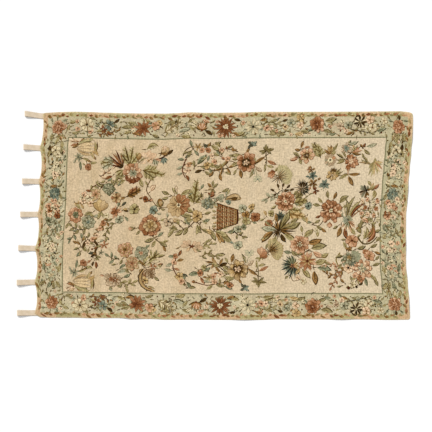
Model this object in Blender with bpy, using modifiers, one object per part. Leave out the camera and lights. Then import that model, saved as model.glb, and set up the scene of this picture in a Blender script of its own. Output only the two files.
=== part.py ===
"""A woven wall hanging, lying face up on a flat surface, with seven tape loops at its top hem.

X runs down the hanging, from the loops to the bottom hem. Y runs across it and Z is up.
"""
import math

import bpy
from mathutils import Matrix, Vector

# Driving sizes, in metres
MM = 0.001
PANEL_LONG = 2.22
PANEL_WIDE = 1.24
CLOTH = 2.4 * MM
TAPE = 1.2 * MM
TAPE_WIDE = 33 * MM
SEAM_TAIL = 32 * MM
TOUCH_GAP = 0.3 * MM
EYE_HIGH = 9 * MM
CORNER_ROUND = 14 * MM

# The loops and the cloth beside each: place across the hem, where the hem and the loop's tip lie
# along X from the panel's middle, how far the tip leans across, and how far the hem
# sags back between this loop and the next. In millimetres.
LOOP_COLUMNS = ("across", "hem", "tip", "lean", "sag")
LOOP_ROWS = (
    (600, -1087, -1195, 16, 11),
    (406, -1107, -1203, 7, 15),
    (203, -1113, -1211, 2, 13),
    (3, -1121, -1222, 0, 16),
    (-204, -1136, -1234, 3, 16),
    (-409, -1138, -1243, -3, 15),
    (-596, -1137, -1241, 0, 0),
)

# Each other edge, as it lies: place along the edge, and how far it stands out of the true rectangle
EDGE_COLUMNS = ("along", "out")
BOTTOM_HEM_ROWS = (
    (-620, 6), (-500, 0), (-410, -7), (-290, -18), (-146, -19), (0, -18),
    (94, -10), (190, -5), (286, 4), (382, 13), (478, 20), (574, 24), (620, 22),
)
FAR_SIDE_ROWS = (
    (-1110, -4), (-1007, 2), (-922, 4), (-827, 2), (-737, -2), (-617, -5), (-497, -7), (-377, -8),
    (-317, -5), (-227, 0), (-137, -3), (73, -1), (163, 2), (308, 3), (733, 4), (943, 6), (1033, 7),
    (1063, 4), (1110, -3),
)
NEAR_SIDE_ROWS = (
    (-1110, -13), (-1020, -8), (-870, -8), (-780, -5), (-595, -6), (-540, -2), (-420, 0), (-330, 4),
    (-225, 3), (215, 5), (330, 1), (840, 2), (990, 5), (1110, 4),
)

# Soft swells where the cloth does not lie flat: middle, heading from +X, length, width and height
SWELL_COLUMNS = ("x", "y", "heading", "long", "wide", "high")
SWELL_ROWS = (
    (-980, 560, 8, 330, 120, 5),
    (-985, 395, -4, 260, 100, 4),
    (-1010, 200, 5, 240, 90, 4),
    (-1000, 0, -6, 260, 100, 4),
    (-1020, -205, 4, 230, 90, 4),
    (-1010, -400, -3, 260, 90, 4),
    (-985, -560, -9, 330, 120, 5),
    (-400, 600, 78, 260, 200, 5),
    (-150, 590, 98, 230, 180, 4),
    (250, 600, 84, 280, 220, 5),
    (760, 590, 95, 260, 200, 4),
    (-560, -600, 100, 230, 190, 4),
    (120, -600, 82, 260, 210, 4),
    (700, -590, 96, 240, 200, 5),
    (1040, 470, 12, 330, 210, 7),
    (1080, 150, -8, 260, 180, 5),
    (1060, -180, 6, 240, 170, 4),
    (1050, -520, -10, 300, 190, 5),
    (-620, 250, 35, 420, 190, 3),
    (330, -210, -28, 460, 210, 3),
    (560, 260, 20, 380, 190, 3),
)

# Where the cloth's grid has its lines, in millimetres from the hem of the loops, then evenly
HEM_STATIONS = (0, 8, 18, 36, 48, 64, 86, 116, 160)
STATION_STEP = 84 * MM
# and across, from the middle of each loop and from the middle of each gap between two loops
LOOP_STATIONS = (-32, -20, 20, 32)
GAP_STATIONS = (-34, 0, 34)

TAIL_PAD = 4 * MM
BUMP_SLOPE = 26 * MM
FOLD_STEPS = 9
LEG_STEPS = 9
LEG_REST = 9 * MM
ACROSS_TAPE = 3


def named(columns, rows):
    """The rows of a table as dictionaries, in metres (a heading stays in degrees)."""
    made = []
    for row in rows:
        cells = dict(zip(columns, row))
        made.append({key: cells[key] if key == "heading" else cells[key] * MM for key in cells})
    return made


LOOPS = named(LOOP_COLUMNS, LOOP_ROWS)
BOTTOM_HEM = named(EDGE_COLUMNS, BOTTOM_HEM_ROWS)
FAR_SIDE = named(EDGE_COLUMNS, FAR_SIDE_ROWS)
NEAR_SIDE = named(EDGE_COLUMNS, NEAR_SIDE_ROWS)
SWELLS = named(SWELL_COLUMNS, SWELL_ROWS)


def smooth(share):
    share = min(max(share, 0.0), 1.0)
    return share * share * (3 - 2 * share)


def along_edge(table, place):
    """How far an edge stands out at a place along it, eased from row to row."""
    if place <= table[0]["along"]:
        return table[0]["out"]
    for low, high in zip(table, table[1:]):
        if place <= high["along"]:
            share = smooth((place - low["along"]) / (high["along"] - low["along"]))
            return low["out"] + share * (high["out"] - low["out"])
    return table[-1]["out"]


def hem_line(across):
    """The hem at the loops: X of the line through the loops, and how far it sags back from that line."""
    if across >= LOOPS[0]["across"]:
        return LOOPS[0]["hem"], 0.0
    for high, low in zip(LOOPS, LOOPS[1:]):
        if across >= low["across"]:
            share = (high["across"] - across) / (high["across"] - low["across"])
            bow = 1 - abs(2 * share - 1) ** 2.4
            return high["hem"] + share * (low["hem"] - high["hem"]), high["sag"] * bow
    past = (LOOPS[-1]["across"] - across) / (LOOPS[-1]["across"] + PANEL_WIDE / 2)
    return LOOPS[-1]["hem"], 22 * MM * smooth(past)


def rounded(along, across):
    """Draws a point near a corner of the true rectangle in, so that the corner is round."""
    from_end = PANEL_LONG / 2 - abs(along)
    from_side = PANEL_WIDE / 2 - abs(across)
    if from_end >= CORNER_ROUND or from_side >= CORNER_ROUND:
        return along, across
    a = 1 - from_end / CORNER_ROUND
    b = 1 - from_side / CORNER_ROUND
    end = PANEL_LONG / 2 - CORNER_ROUND * (1 - a * math.sqrt(1 - b * b / 2))
    side = PANEL_WIDE / 2 - CORNER_ROUND * (1 - b * math.sqrt(1 - a * a / 2))
    return math.copysign(end, along), math.copysign(side, across)


def lying(along, across):
    """Where a point of the true rectangle lies, seen from above."""
    along, across = rounded(along, across)
    line, sag = hem_line(across)
    down = (along + PANEL_LONG / 2) / PANEL_LONG
    end = PANEL_LONG / 2 + along_edge(BOTTOM_HEM, across)
    near_hem = (1 - min(down * PANEL_LONG / 0.15, 1.0)) ** 2
    x = line + down * (end - line) + sag * near_hem
    up = (across + PANEL_WIDE / 2) / PANEL_WIDE
    y = across + up * along_edge(FAR_SIDE, along) - (1 - up) * along_edge(NEAR_SIDE, along)
    return x, y


def swell_height(swell, x, y):
    turn = math.radians(swell["heading"])
    ahead = (x - swell["x"]) * math.cos(turn) + (y - swell["y"]) * math.sin(turn)
    aside = (y - swell["y"]) * math.cos(turn) - (x - swell["x"]) * math.sin(turn)
    far = math.hypot(ahead / (swell["long"] / 2), aside / (swell["wide"] / 2))
    return swell["high"] * smooth(1 - far)


def tail_height(along, across):
    """How high the cloth is held by the tape tails that are sewn under its hem."""
    top = 2 * TAPE + 2 * TOUCH_GAP
    height = 0.0
    for loop in LOOPS:
        aside = abs(across - loop["across"]) - TAPE_WIDE / 2 - TAIL_PAD
        ahead = along + PANEL_LONG / 2 - SEAM_TAIL - TAIL_PAD
        off = math.hypot(max(aside, 0.0), max(ahead, 0.0))
        height = max(height, top * smooth(1 - off / BUMP_SLOPE))
    return height


def underside(along, across):
    """Height of the cloth's underside over the surface that it lies on."""
    x, y = lying(along, across)
    return max([tail_height(along, across)] + [swell_height(swell, x, y) for swell in SWELLS])


def stations_along():
    """Grid lines down the hanging: close together near the loops, then evenly to the bottom hem."""
    near = [station * MM for station in HEM_STATIONS]
    left = PANEL_LONG - CORNER_ROUND - near[-1]
    count = round(left / STATION_STEP)
    far = [near[-1] + left * (step + 1) / count for step in range(count)]
    ends = [PANEL_LONG - CORNER_ROUND / 2, PANEL_LONG]
    return [place - PANEL_LONG / 2 for place in near + far + ends]


def stations_across():
    """Grid lines across the hanging: at the edges of each loop and in the gap between two."""
    half = PANEL_WIDE / 2
    places = {-half, half, CORNER_ROUND / 2 - half, CORNER_ROUND - half}
    places |= {half - CORNER_ROUND / 2, half - CORNER_ROUND}
    for loop in LOOPS:
        places |= {loop["across"] + station * MM for station in LOOP_STATIONS}
    for high, low in zip(LOOPS, LOOPS[1:]):
        middle = (high["across"] + low["across"]) / 2
        places |= {middle + station * MM for station in GAP_STATIONS}
    kept = []
    for place in sorted(places):
        if -half <= place <= half and (not kept or place - kept[-1] > 4 * MM):
            kept.append(place)
    kept[-1] = half
    return kept


def fabric(name, colour, roughness):
    """A plain cloth finish of one colour."""
    finish = bpy.data.materials.new(name)
    finish.use_nodes = True
    shader = finish.node_tree.nodes["Principled BSDF"]
    shader.inputs["Base Color"].default_value = (*colour, 1)
    shader.inputs["Roughness"].default_value = roughness
    finish.diffuse_color = (*colour, 1)
    return finish


def grid_object(name, points, finish):
    """A smooth sheet through a grid of points, given as rows of equal length."""
    wide = len(points[0])
    corners = [point for row in points for point in row]
    faces = []
    for row in range(len(points) - 1):
        for column in range(wide - 1):
            first = row * wide + column
            faces.append((first, first + wide, first + wide + 1, first + 1))
    mesh = bpy.data.meshes.new(name)
    mesh.from_pydata(corners, [], faces)
    mesh.shade_smooth()
    mesh.materials.append(finish)
    return bpy.data.objects.new(name, mesh)


def thickened(piece, thickness, offset):
    wall = piece.modifiers.new("Thickness", "SOLIDIFY")
    wall.thickness = thickness
    wall.offset = offset
    return piece


def tapestry_cloth(finish):
    """The woven panel: its underside as it lies, thickened upwards."""
    rows = []
    for along in stations_along():
        row = []
        for across in stations_across():
            row.append((*lying(along, across), underside(along, across)))
        rows.append(row)
    return thickened(grid_object("tapestry_cloth", rows, finish), CLOTH, 1)


def loop_path(reach):
    """The middle of the tape from its lower tail, out to the fold and back over itself to its upper
    tail, as distances out of the hem and heights."""
    low = TAPE / 2
    upper = low + TAPE + TOUCH_GAP
    top = low + TAPE + EYE_HIGH
    half = (top - low) / 2
    fold = reach - half
    path = [(-SEAM_TAIL, low), (LEG_REST, low)]
    path += [(LEG_REST + (fold - LEG_REST) * step / 3, low) for step in (1, 2)]
    for step in range(FOLD_STEPS + 1):
        turn = math.pi * (step / FOLD_STEPS - 0.5)
        path.append((fold + half * math.cos(turn), low + half + half * math.sin(turn)))
    for step in range(1, LEG_STEPS + 1):
        share = step / LEG_STEPS
        path.append((fold + share * (LEG_REST - fold), top + (upper - top) * smooth(share)))
    path.append((-SEAM_TAIL, upper))
    return path


def tab_loop(number, row, finish):
    """A loop of cotton tape: one strip folded back on itself, its two tails under the hem."""
    hem, middle = lying(-PANEL_LONG / 2, row["across"])
    reach = row["hem"] - row["tip"]
    rows = []
    for out, height in loop_path(reach):
        sway = row["lean"] * max(out, 0.0) / reach
        strip = []
        for step in range(ACROSS_TAPE + 1):
            aside = TAPE_WIDE * (step / ACROSS_TAPE - 0.5)
            strip.append((hem - out, middle + sway + aside, height))
        rows.append(strip)
    return thickened(grid_object(f"tab_loop_{number}", rows, finish), TAPE, 0)


def clear_scene():
    for leftover in list(bpy.data.objects):
        bpy.data.objects.remove(leftover)


def stand_at_middle(collection, holder):
    """Moves the holder so that the middle of the hanging's outline is at the origin."""
    bpy.context.view_layer.update()
    graph = bpy.context.evaluated_depsgraph_get()
    corners = []
    for piece in collection.objects:
        if piece.type == "MESH":
            seen = piece.evaluated_get(graph)
            corners += [seen.matrix_world @ Vector(corner) for corner in seen.bound_box]
    middle = [(min(c[i] for c in corners) + max(c[i] for c in corners)) / 2 for i in (0, 1)]
    holder.matrix_world = Matrix.Translation((-middle[0], -middle[1], 0))


def main():
    clear_scene()
    collection = bpy.data.collections.new("woven_tapestry")
    bpy.context.scene.collection.children.link(collection)
    holder = bpy.data.objects.new("hanging", None)
    collection.objects.link(holder)
    wool = fabric("woven_wool", (0.52, 0.40, 0.24), 0.9)
    cotton = fabric("cotton_tape", (0.66, 0.56, 0.42), 0.9)
    pieces = [tapestry_cloth(wool)]
    pieces += [tab_loop(number, row, cotton) for number, row in enumerate(LOOPS, 1)]
    for piece in pieces:
        collection.objects.link(piece)
        piece.parent = holder
    stand_at_middle(collection, holder)


main()
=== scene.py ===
"""A long woven tapestry hanging, lying face up on a pale floor, seen from straight above."""
import math
import random

import bpy
import numpy as np
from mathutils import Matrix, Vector


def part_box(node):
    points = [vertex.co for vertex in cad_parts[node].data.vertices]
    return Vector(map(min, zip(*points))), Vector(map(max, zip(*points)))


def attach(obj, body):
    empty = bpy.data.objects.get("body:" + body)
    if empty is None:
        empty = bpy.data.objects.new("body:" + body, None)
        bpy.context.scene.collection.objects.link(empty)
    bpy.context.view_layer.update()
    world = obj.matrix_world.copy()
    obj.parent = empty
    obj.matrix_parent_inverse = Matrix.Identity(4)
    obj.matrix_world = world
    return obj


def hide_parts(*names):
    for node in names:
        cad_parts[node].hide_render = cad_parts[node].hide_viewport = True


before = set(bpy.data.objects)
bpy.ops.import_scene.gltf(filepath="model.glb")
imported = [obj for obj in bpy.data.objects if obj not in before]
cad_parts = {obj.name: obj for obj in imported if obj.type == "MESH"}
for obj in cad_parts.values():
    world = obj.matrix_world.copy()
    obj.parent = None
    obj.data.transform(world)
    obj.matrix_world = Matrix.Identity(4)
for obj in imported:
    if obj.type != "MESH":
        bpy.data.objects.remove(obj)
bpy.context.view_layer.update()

# The cloth
# One woven panel: wool weft beaten over a cotton warp, so the face is matt and faintly ribbed.
# Its hem is turned under and pressed. It lies face up, lifted a little where the tape tails are
# sewn under its top hem and where the fabric never lay quite flat.
MM = 0.001
LONG, WIDE, THICK = 2.22, 1.24, 2.4 * MM
GRID = 9 * MM
CORNER_ROUND = 14 * MM
TAPE, TAPE_WIDE, SEAM_TAIL, TOUCH_GAP = 1.2 * MM, 33 * MM, 32 * MM, 0.3 * MM
TAIL_PAD, TAIL_SLOPE = 4 * MM, 26 * MM
ROLLED, FIRST_LINE, EDGE_DROP = 4 * MM, 1.5 * MM, 0.9 * MM  # the hem's edge, rolled over
BACK_GAP, EDGE_LIFT = 0.15 * MM, 0.75 * MM
SAG_REACH, CORNER_SAG = 150 * MM, 22 * MM  # how far in the hem's sag goes, and the sag past the last loop
GUARD, LINE_AT, LINE_WIDE = 30 * MM, 152 * MM, 5 * MM

# The loops, and the hem beside each: place across, hem and tip along X, lean of the tip, sag to the next
LOOPS = [dict(zip(("across", "hem", "tip", "lean", "sag"), [cell * MM for cell in row])) for row in (
    (600, -1087, -1195, 16, 11),
    (406, -1107, -1203, 7, 15),
    (203, -1113, -1211, 2, 13),
    (3, -1121, -1222, 0, 16),
    (-204, -1136, -1234, 3, 16),
    (-409, -1138, -1243, -3, 15),
    (-596, -1137, -1241, 0, 0),
)]
# The other edges as they lie: place along each edge, and how far it stands out of the true rectangle
BOTTOM_HEM = [(place * MM, out * MM) for place, out in (
    (-620, 6), (-500, 0), (-410, -7), (-290, -18), (-146, -19), (0, -18),
    (94, -10), (190, -5), (286, 4), (382, 13), (478, 20), (574, 24), (620, 22),
)]
FAR_SIDE = [(place * MM, out * MM) for place, out in (
    (-1110, -4), (-1007, 2), (-922, 4), (-827, 2), (-737, -2), (-617, -5), (-497, -7), (-377, -8),
    (-317, -5), (-227, 0), (-137, -3), (73, -1), (163, 2), (308, 3), (733, 4), (943, 6), (1033, 7),
    (1063, 4), (1110, -3),
)]
NEAR_SIDE = [(place * MM, out * MM) for place, out in (
    (-1110, -13), (-1020, -8), (-870, -8), (-780, -5), (-595, -6), (-540, -2), (-420, 0), (-330, 4),
    (-225, 3), (215, 5), (330, 1), (840, 2), (990, 5), (1110, 4),
)]
# Soft swells of the fabric: middle, heading from +X, length, width and height
SWELLS = [dict(zip(("x", "y", "heading", "long", "wide", "high"), row)) for row in (
    (-980, 560, 8, 330, 120, 5), (-985, 395, -4, 260, 100, 4), (-1010, 200, 5, 240, 90, 4),
    (-1000, 0, -6, 260, 100, 4), (-1020, -205, 4, 230, 90, 4), (-1010, -400, -3, 260, 90, 4),
    (-985, -560, -9, 330, 120, 5), (-400, 600, 78, 260, 200, 5), (-150, 590, 98, 230, 180, 4),
    (250, 600, 84, 280, 220, 5), (760, 590, 95, 260, 200, 4), (-560, -600, 100, 230, 190, 4),
    (120, -600, 82, 260, 210, 4), (700, -590, 96, 240, 200, 5), (1040, 470, 12, 330, 210, 7),
    (1080, 150, -8, 260, 180, 5), (1060, -180, 6, 240, 170, 4), (1050, -520, -10, 300, 190, 5),
    (-620, 250, 35, 420, 190, 3), (330, -210, -28, 460, 210, 3), (560, 260, 20, 380, 190, 3),
)]
# Finer creases that only the face shows, as soft ridges and troughs: the same columns
CREASES = [dict(zip(("x", "y", "heading", "long", "wide", "high"), row)) for row in (
    (-900, 480, -18, 380, 46, 1.6), (-930, 300, 12, 300, 40, -1.2), (-880, 110, 6, 340, 44, 1.4),
    (-905, -90, -10, 300, 40, 1.2), (-880, -300, 14, 360, 46, 1.5), (-910, -500, 8, 300, 42, -1.2),
    (-330, 560, 80, 200, 60, 1.6), (-60, 570, 96, 170, 56, -1.4), (420, 575, 88, 190, 60, 1.5),
    (640, 560, 100, 170, 54, -1.2), (880, 420, 40, 300, 60, 1.8), (960, 250, 8, 260, 56, 1.5),
    (980, 20, -12, 240, 60, -1.4), (950, -330, 10, 280, 56, 1.6), (-260, -570, 84, 190, 54, 1.5),
    (420, -570, 96, 190, 58, -1.4), (930, -560, 100, 170, 56, 1.4), (-420, 60, 52, 420, 70, 1.0),
    (140, 260, -34, 460, 70, 1.0), (-160, -280, 28, 420, 66, -1.0), (620, -120, 64, 400, 70, 1.1),
)]


def smooth(share):
    share = min(max(share, 0.0), 1.0)
    return share * share * (3 - 2 * share)


def along_edge(table, place):
    """How far an edge stands out at a place along it, eased from row to row."""
    if place <= table[0][0]:
        return table[0][1]
    for (start, low), (end, high) in zip(table, table[1:]):
        if place <= end:
            return low + smooth((place - start) / (end - start)) * (high - low)
    return table[-1][1]


def hem_line(across):
    """X of the line through the loops at the top hem, and how far the hem sags back from it."""
    if across >= LOOPS[0]["across"]:
        return LOOPS[0]["hem"], 0.0
    for high, low in zip(LOOPS, LOOPS[1:]):
        if across >= low["across"]:
            share = (high["across"] - across) / (high["across"] - low["across"])
            bow = 1 - abs(2 * share - 1) ** 2.4
            return high["hem"] + share * (low["hem"] - high["hem"]), high["sag"] * bow
    past = (LOOPS[-1]["across"] - across) / (LOOPS[-1]["across"] + WIDE / 2)
    return LOOPS[-1]["hem"], CORNER_SAG * smooth(past)


def rounded(along, across):
    """Draws a point near a corner of the true rectangle in, so that the corner is round."""
    a = 1 - (LONG / 2 - abs(along)) / CORNER_ROUND
    b = 1 - (WIDE / 2 - abs(across)) / CORNER_ROUND
    if a <= 0 or b <= 0:
        return along, across
    end = LONG / 2 - CORNER_ROUND * (1 - a * math.sqrt(1 - b * b / 2))
    side = WIDE / 2 - CORNER_ROUND * (1 - b * math.sqrt(1 - a * a / 2))
    return math.copysign(end, along), math.copysign(side, across)


def lying(along, across):
    """Where a point of the true rectangle lies, seen from above, before the frame's own offset."""
    along, across = rounded(along, across)
    line, sag = hem_line(across)
    down = (along + LONG / 2) / LONG
    end = LONG / 2 + along_edge(BOTTOM_HEM, across)
    x = line + down * (end - line) + sag * (1 - min(down * LONG / SAG_REACH, 1.0)) ** 2
    up = (across + WIDE / 2) / WIDE
    y = across + up * along_edge(FAR_SIDE, along) - (1 - up) * along_edge(NEAR_SIDE, along)
    return x, y


def raised(rows, x, y):
    """Heights, at a point, of the soft long mounds that a table lists."""
    for row in rows:
        turn = math.radians(row["heading"])
        ahead, aside = x - row["x"] * MM, y - row["y"] * MM
        far = math.hypot((ahead * math.cos(turn) + aside * math.sin(turn)) / (row["long"] * MM / 2),
                         (aside * math.cos(turn) - ahead * math.sin(turn)) / (row["wide"] * MM / 2))
        if far < 1:
            yield row["high"] * MM * smooth(1 - far)


def tail_height(along, across):
    """How high the tape tails hold the cloth up under its top hem."""
    height = 0.0
    ahead = max(along + LONG / 2 - SEAM_TAIL - TAIL_PAD, 0.0)
    if ahead < TAIL_SLOPE:
        for loop in LOOPS:
            aside = max(abs(across - loop["across"]) - TAPE_WIDE / 2 - TAIL_PAD, 0.0)
            rise = smooth(1 - math.hypot(aside, ahead) / TAIL_SLOPE)
            height = max(height, (2 * TAPE + 2 * TOUCH_GAP) * rise)
    return height


def stations(length):
    """Grid lines along one side of the cloth: two close to each edge, which is rolled over, then even."""
    count = round(length / GRID)
    inner = [ROLLED + (length - 2 * ROLLED) * k / count for k in range(count + 1)]
    return [place - length / 2 for place in [0.0, FIRST_LINE] + inner + [length - FIRST_LINE, length]]


ALONG, ACROSS = stations(LONG), stations(WIDE)
OFFSET = (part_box("tab_loop_6")[0][0] + TAPE / 2 - LOOPS[5]["tip"],
          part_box("tapestry_cloth")[0][1] - min(lying(along, -WIDE / 2)[1] for along in ALONG))
face_points, back_points = [], []
for along in ALONG:
    for across in ACROSS:
        x, y = lying(along, across)
        under = max([tail_height(along, across), *raised(SWELLS, x, y)])
        crease = sum(raised(CREASES, x, y)) * smooth(under / (3 * MM) + 0.35)
        rolled = 1 - smooth(min(LONG / 2 - abs(along), WIDE / 2 - abs(across)) / ROLLED)
        x, y = x + OFFSET[0], y + OFFSET[1]
        face_points.append((x, y, under + THICK + crease - EDGE_DROP * rolled))
        back_points.append((x, y, under + max(crease, 0) + BACK_GAP + EDGE_LIFT * rolled))
wide_count, points_count = len(ACROSS), len(face_points)
face_quads = []
for i in range(len(ALONG) - 1):
    for j in range(wide_count - 1):
        a, b = i * wide_count + j, (i + 1) * wide_count + j
        face_quads.append((a, b, b + 1, a + 1))
back_quads = [tuple(points_count + k for k in reversed(quad)) for quad in face_quads]
last = points_count - wide_count
hem_round = [*range(wide_count), *(i * wide_count + wide_count - 1 for i in range(1, len(ALONG))),
             *(last + j for j in range(wide_count - 2, -1, -1)),
             *(i * wide_count for i in range(len(ALONG) - 2, 0, -1))]
rim_quads = [(a, b, points_count + b, points_count + a)
             for a, b in zip(hem_round, hem_round[1:] + hem_round[:1])]
cloth_mesh = bpy.data.meshes.new("woven_cloth")
cloth_mesh.from_pydata(face_points + back_points, [], face_quads + back_quads + rim_quads)
cloth_mesh.shade_smooth()
flat_map = cloth_mesh.uv_layers.new(name="Flat")
bake_map = cloth_mesh.uv_layers.new(name="OFBake")
for face in cloth_mesh.polygons:
    on_back = len(face_quads) <= face.index < 2 * len(face_quads)
    for corner in face.loop_indices:
        i, j = divmod(cloth_mesh.loops[corner].vertex_index % points_count, wide_count)
        u, v = 0.5 + ALONG[i] / LONG, 0.5 + ACROSS[j] / WIDE
        flat_map.uv[corner].vector = (u, v)
        low, high = (0.605, 0.385) if on_back else (0.005, 0.55)  # the back lies above the face
        bake_map.uv[corner].vector = (0.005 + 0.99 * u, low + high * v)


def node(kind, inputs=(), out=0, **settings):
    """Adds a node with its settings and its inputs, as values or links, and gives one of its outputs."""
    made = tree.nodes.new("ShaderNode" + kind)
    for name, value in settings.items():
        setattr(made, name, value)
    for key, value in inputs.items() if isinstance(inputs, dict) else enumerate(inputs):
        if isinstance(value, bpy.types.NodeSocket):
            tree.links.new(value, made.inputs[key])
        else:
            made.inputs[key].default_value = value
    return made.outputs[out]


def yarn(code):
    """An sRGB hex value as a linear colour."""
    parts = [int(code[k:k + 2], 16) / 255 for k in (1, 3, 5)]
    return (*(part / 12.92 if part <= 0.04045 else ((part + 0.055) / 1.055) ** 2.4 for part in parts), 1.0)


def matt_finish(name, roughness, sheen):
    """A matt Principled material, with its tree and its shader."""
    finish = bpy.data.materials.new(name)
    finish.use_nodes = True
    shader = finish.node_tree.nodes["Principled BSDF"]
    shader.inputs["Roughness"].default_value = roughness
    shader.inputs["Specular IOR Level"].default_value = 0.08
    shader.inputs["Sheen Weight"].default_value = sheen
    shader.inputs["Sheen Roughness"].default_value = 0.5
    return finish, finish.node_tree, shader


def over_cloth(uv_map, long, wide):
    """Where a point lies on the flat cloth, in metres from its corner."""
    return node("VectorMath", (node("UVMap", uv_map=uv_map), (long, wide, 0)), operation="MULTIPLY")


def patches(size, low, high, least=0.0, most=1.0, detail=2.0, stretch=(1, 1, 1)):
    """Soft patches over the flat cloth: their size, the noise they start and end at, and their share."""
    spread = node("VectorMath", (place, stretch), operation="MULTIPLY")
    cloud = node("TexNoise", {"Vector": spread, "Scale": 1 / size, "Detail": detail})
    return node("MapRange", (cloud, low, high, least, most))


def layered(wool, *layers):
    """A wool's colour with others over it in turn, each with its share from 0 to 1."""
    for share, over in layers:
        over = yarn(over) if isinstance(over, str) else over
        wool = node("Mix", {0: share, 6: wool, 7: over}, 2, data_type="RGBA")
    return wool


def weft_relief():
    """The ribs of the beaten weft and the hair of its yarn, as a bump on the shader."""
    ribs = node("TexWave", {"Vector": place, "Scale": 2 * math.pi / (20 * RIB), "Distortion": 1.5,
                            "Detail": 1.0}, 1, wave_type="BANDS", bands_direction="X")
    hair = node("TexNoise", {"Vector": place, "Scale": 1 / HAIR, "Detail": 2.0})
    relief = node("Math", (node("Math", (ribs, 0.4), operation="MULTIPLY"), hair), operation="ADD")
    bump = node("Bump", {"Height": relief, "Distance": 0.6 * MM, "Strength": 0.6})
    tree.links.new(bump, shader.inputs["Normal"])


# Wool tapestry weave, dyed in the yarn: matt, a little hairy, each dye lot slightly streaked along
# the weft. The ribs are about 2 mm apart in real cloth, and 9.9 mm here so that they show at all.
RIB, HAIR, STREAK = 9.87 * MM, 9 * MM, 6 * MM
ALONG_WEFT = (1, 0.12, 1)
SOFT_EDGE, DYE_TURN, HEM_FADE = 1.5 * MM, 270 * MM, 12 * MM
END_WIDER = 12 * MM  # the border is wider by the loops
woven_face, tree, shader = matt_finish("wool_tapestry_weave", 0.92, 0.05)
place = over_cloth("Flat", LONG, WIDE)
down = node("SeparateXYZ", (place,))
over = node("SeparateXYZ", (place,), 1)
from_end = node("Math", (down, node("Math", (LONG, down), operation="SUBTRACT")), operation="MINIMUM")
from_side = node("Math", (over, node("Math", (WIDE, over), operation="SUBTRACT")), operation="MINIMUM")
from_edge = node("Math", (from_end, from_side), operation="MINIMUM")
on_end = node("Math", (from_end, from_side), operation="LESS_THAN")
run = node("Mix", {0: on_end, 2: down, 3: over})
field_wool = layered(
    yarn("#CEB895"), (patches(160 * MM, 0.35, 0.65), "#C5AE8A"),
    (patches(50 * MM, 0.42, 0.66, 0, 0.6, 3), "#DEC4A0"),
    (patches(70 * MM, 0.45, 0.7, 0, 0.5, 2, (1, 0.22, 1)), "#C6AC83"),
    (node("MapRange", (down, 0.3 * LONG, LONG, 0, 0.85)), "#D1C0A2"))
border_wool = layered(
    yarn("#C8BC99"), (patches(45 * MM, 0.36, 0.66, detail=3), "#B2A882"),
    (patches(200 * MM, 0.4, 0.6, 0, 0.5), "#BDA988"),
    (node("MapRange", (down, 0.86 * LONG, 0.94 * LONG, 0, 0.6)), "#AAA37F"))
wave = node("Math", (node("Math", (run, 2 * math.pi / DYE_TURN), operation="MULTIPLY"),), operation="SINE")
guard_tone = node("Math", (wave, patches(60 * MM, 0.3, 0.7, -0.5, 0.5)), operation="ADD")
guard_wool = layered(yarn("#ADA070"), (node("MapRange", (guard_tone, -0.25, 0.25)), "#C6A47C"))
from_wide_end = node("Math", (down, END_WIDER), operation="SUBTRACT")
from_out = node("Math", (from_edge, from_wide_end), operation="MINIMUM")
LINE_END = LINE_AT + LINE_WIDE
line_starts = node("MapRange", (from_out, LINE_AT - SOFT_EDGE, LINE_AT))
line_stops = node("MapRange", (from_out, LINE_END, LINE_END + SOFT_EDGE, 1, 0))
wool = layered(
    border_wool, (node("MapRange", (from_out, LINE_END, LINE_END + SOFT_EDGE)), field_wool),
    (node("Math", (line_starts, line_stops), operation="MULTIPLY"), "#7A7554"),
    (node("MapRange", (from_edge, GUARD - 2 * MM, GUARD + 2 * MM, 1, 0)), guard_wool),
    (node("MapRange", (from_edge, 0, HEM_FADE, 0.8, 0)), "#CDB992"))
streak = patches(STREAK, 0.3, 0.7, 0.91, 1.07, 1, ALONG_WEFT)
fleck = patches(10 * MM, 0.34, 0.66, 0.78, 1.12)
paler = node("MapRange", (down, 0.25 * LONG, LONG, 0.99, 1.06))  # the far end has faded more
tone = node("Math", (node("Math", (streak, fleck), operation="MULTIPLY"), paler), operation="MULTIPLY")
tree.links.new(node("VectorMath", {0: wool, "Scale": tone}, operation="SCALE"), shader.inputs["Base Color"])
weft_relief()

# The reverse of the same weave: the yarn ends are floated behind the design, so it is duller
woven_back, tree, shader = matt_finish("wool_tapestry_reverse", 0.95, 0.05)
place = over_cloth("Flat", LONG, WIDE)
plain = layered(yarn("#C0AC88"), (patches(20 * MM, 0.35, 0.65, detail=3, stretch=(1, 0.2, 1)), "#A8946E"))
tree.links.new(plain, shader.inputs["Base Color"])
drawn = node("VectorMath", (place, (1, 0.3, 1)), operation="MULTIPLY")
floats = node("TexNoise", {"Vector": drawn, "Scale": 1 / (5 * MM), "Detail": 2.0})
bump = node("Bump", {"Height": floats, "Distance": 1.0 * MM, "Strength": 0.8})
tree.links.new(bump, shader.inputs["Normal"])

cloth_mesh.materials.append(woven_face)
cloth_mesh.materials.append(woven_back)
for face in cloth_mesh.polygons:
    face.material_index = int(len(face_quads) <= face.index < 2 * len(face_quads))
cloth = bpy.data.objects.new("tapestry_cloth_woven", cloth_mesh)
bpy.context.scene.collection.objects.link(cloth)
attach(cloth, "root")
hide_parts("tapestry_cloth")

# The border
# A plain sage band round the field, edged by a narrow guard whose yarn changes from peach to olive.
# Its flowers are woven in as separate small patches of dyed wool, so each petal and leaf has its own
# outline and fades from one dye to the next. They are laid here as thin yarn marks on the face.
STEP = 6 * MM
LIFT, LAYER, DOME = 0.35 * MM, 0.1 * MM, 0.2 * MM  # how proud a patch, its layer and its middle stand
HAND = random.Random(11)
FADED, OLD_WOOL = 0.14, (1.34, 1.03, 0.63)  # how far the dyes have faded, and the tan that they fade to
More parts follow.
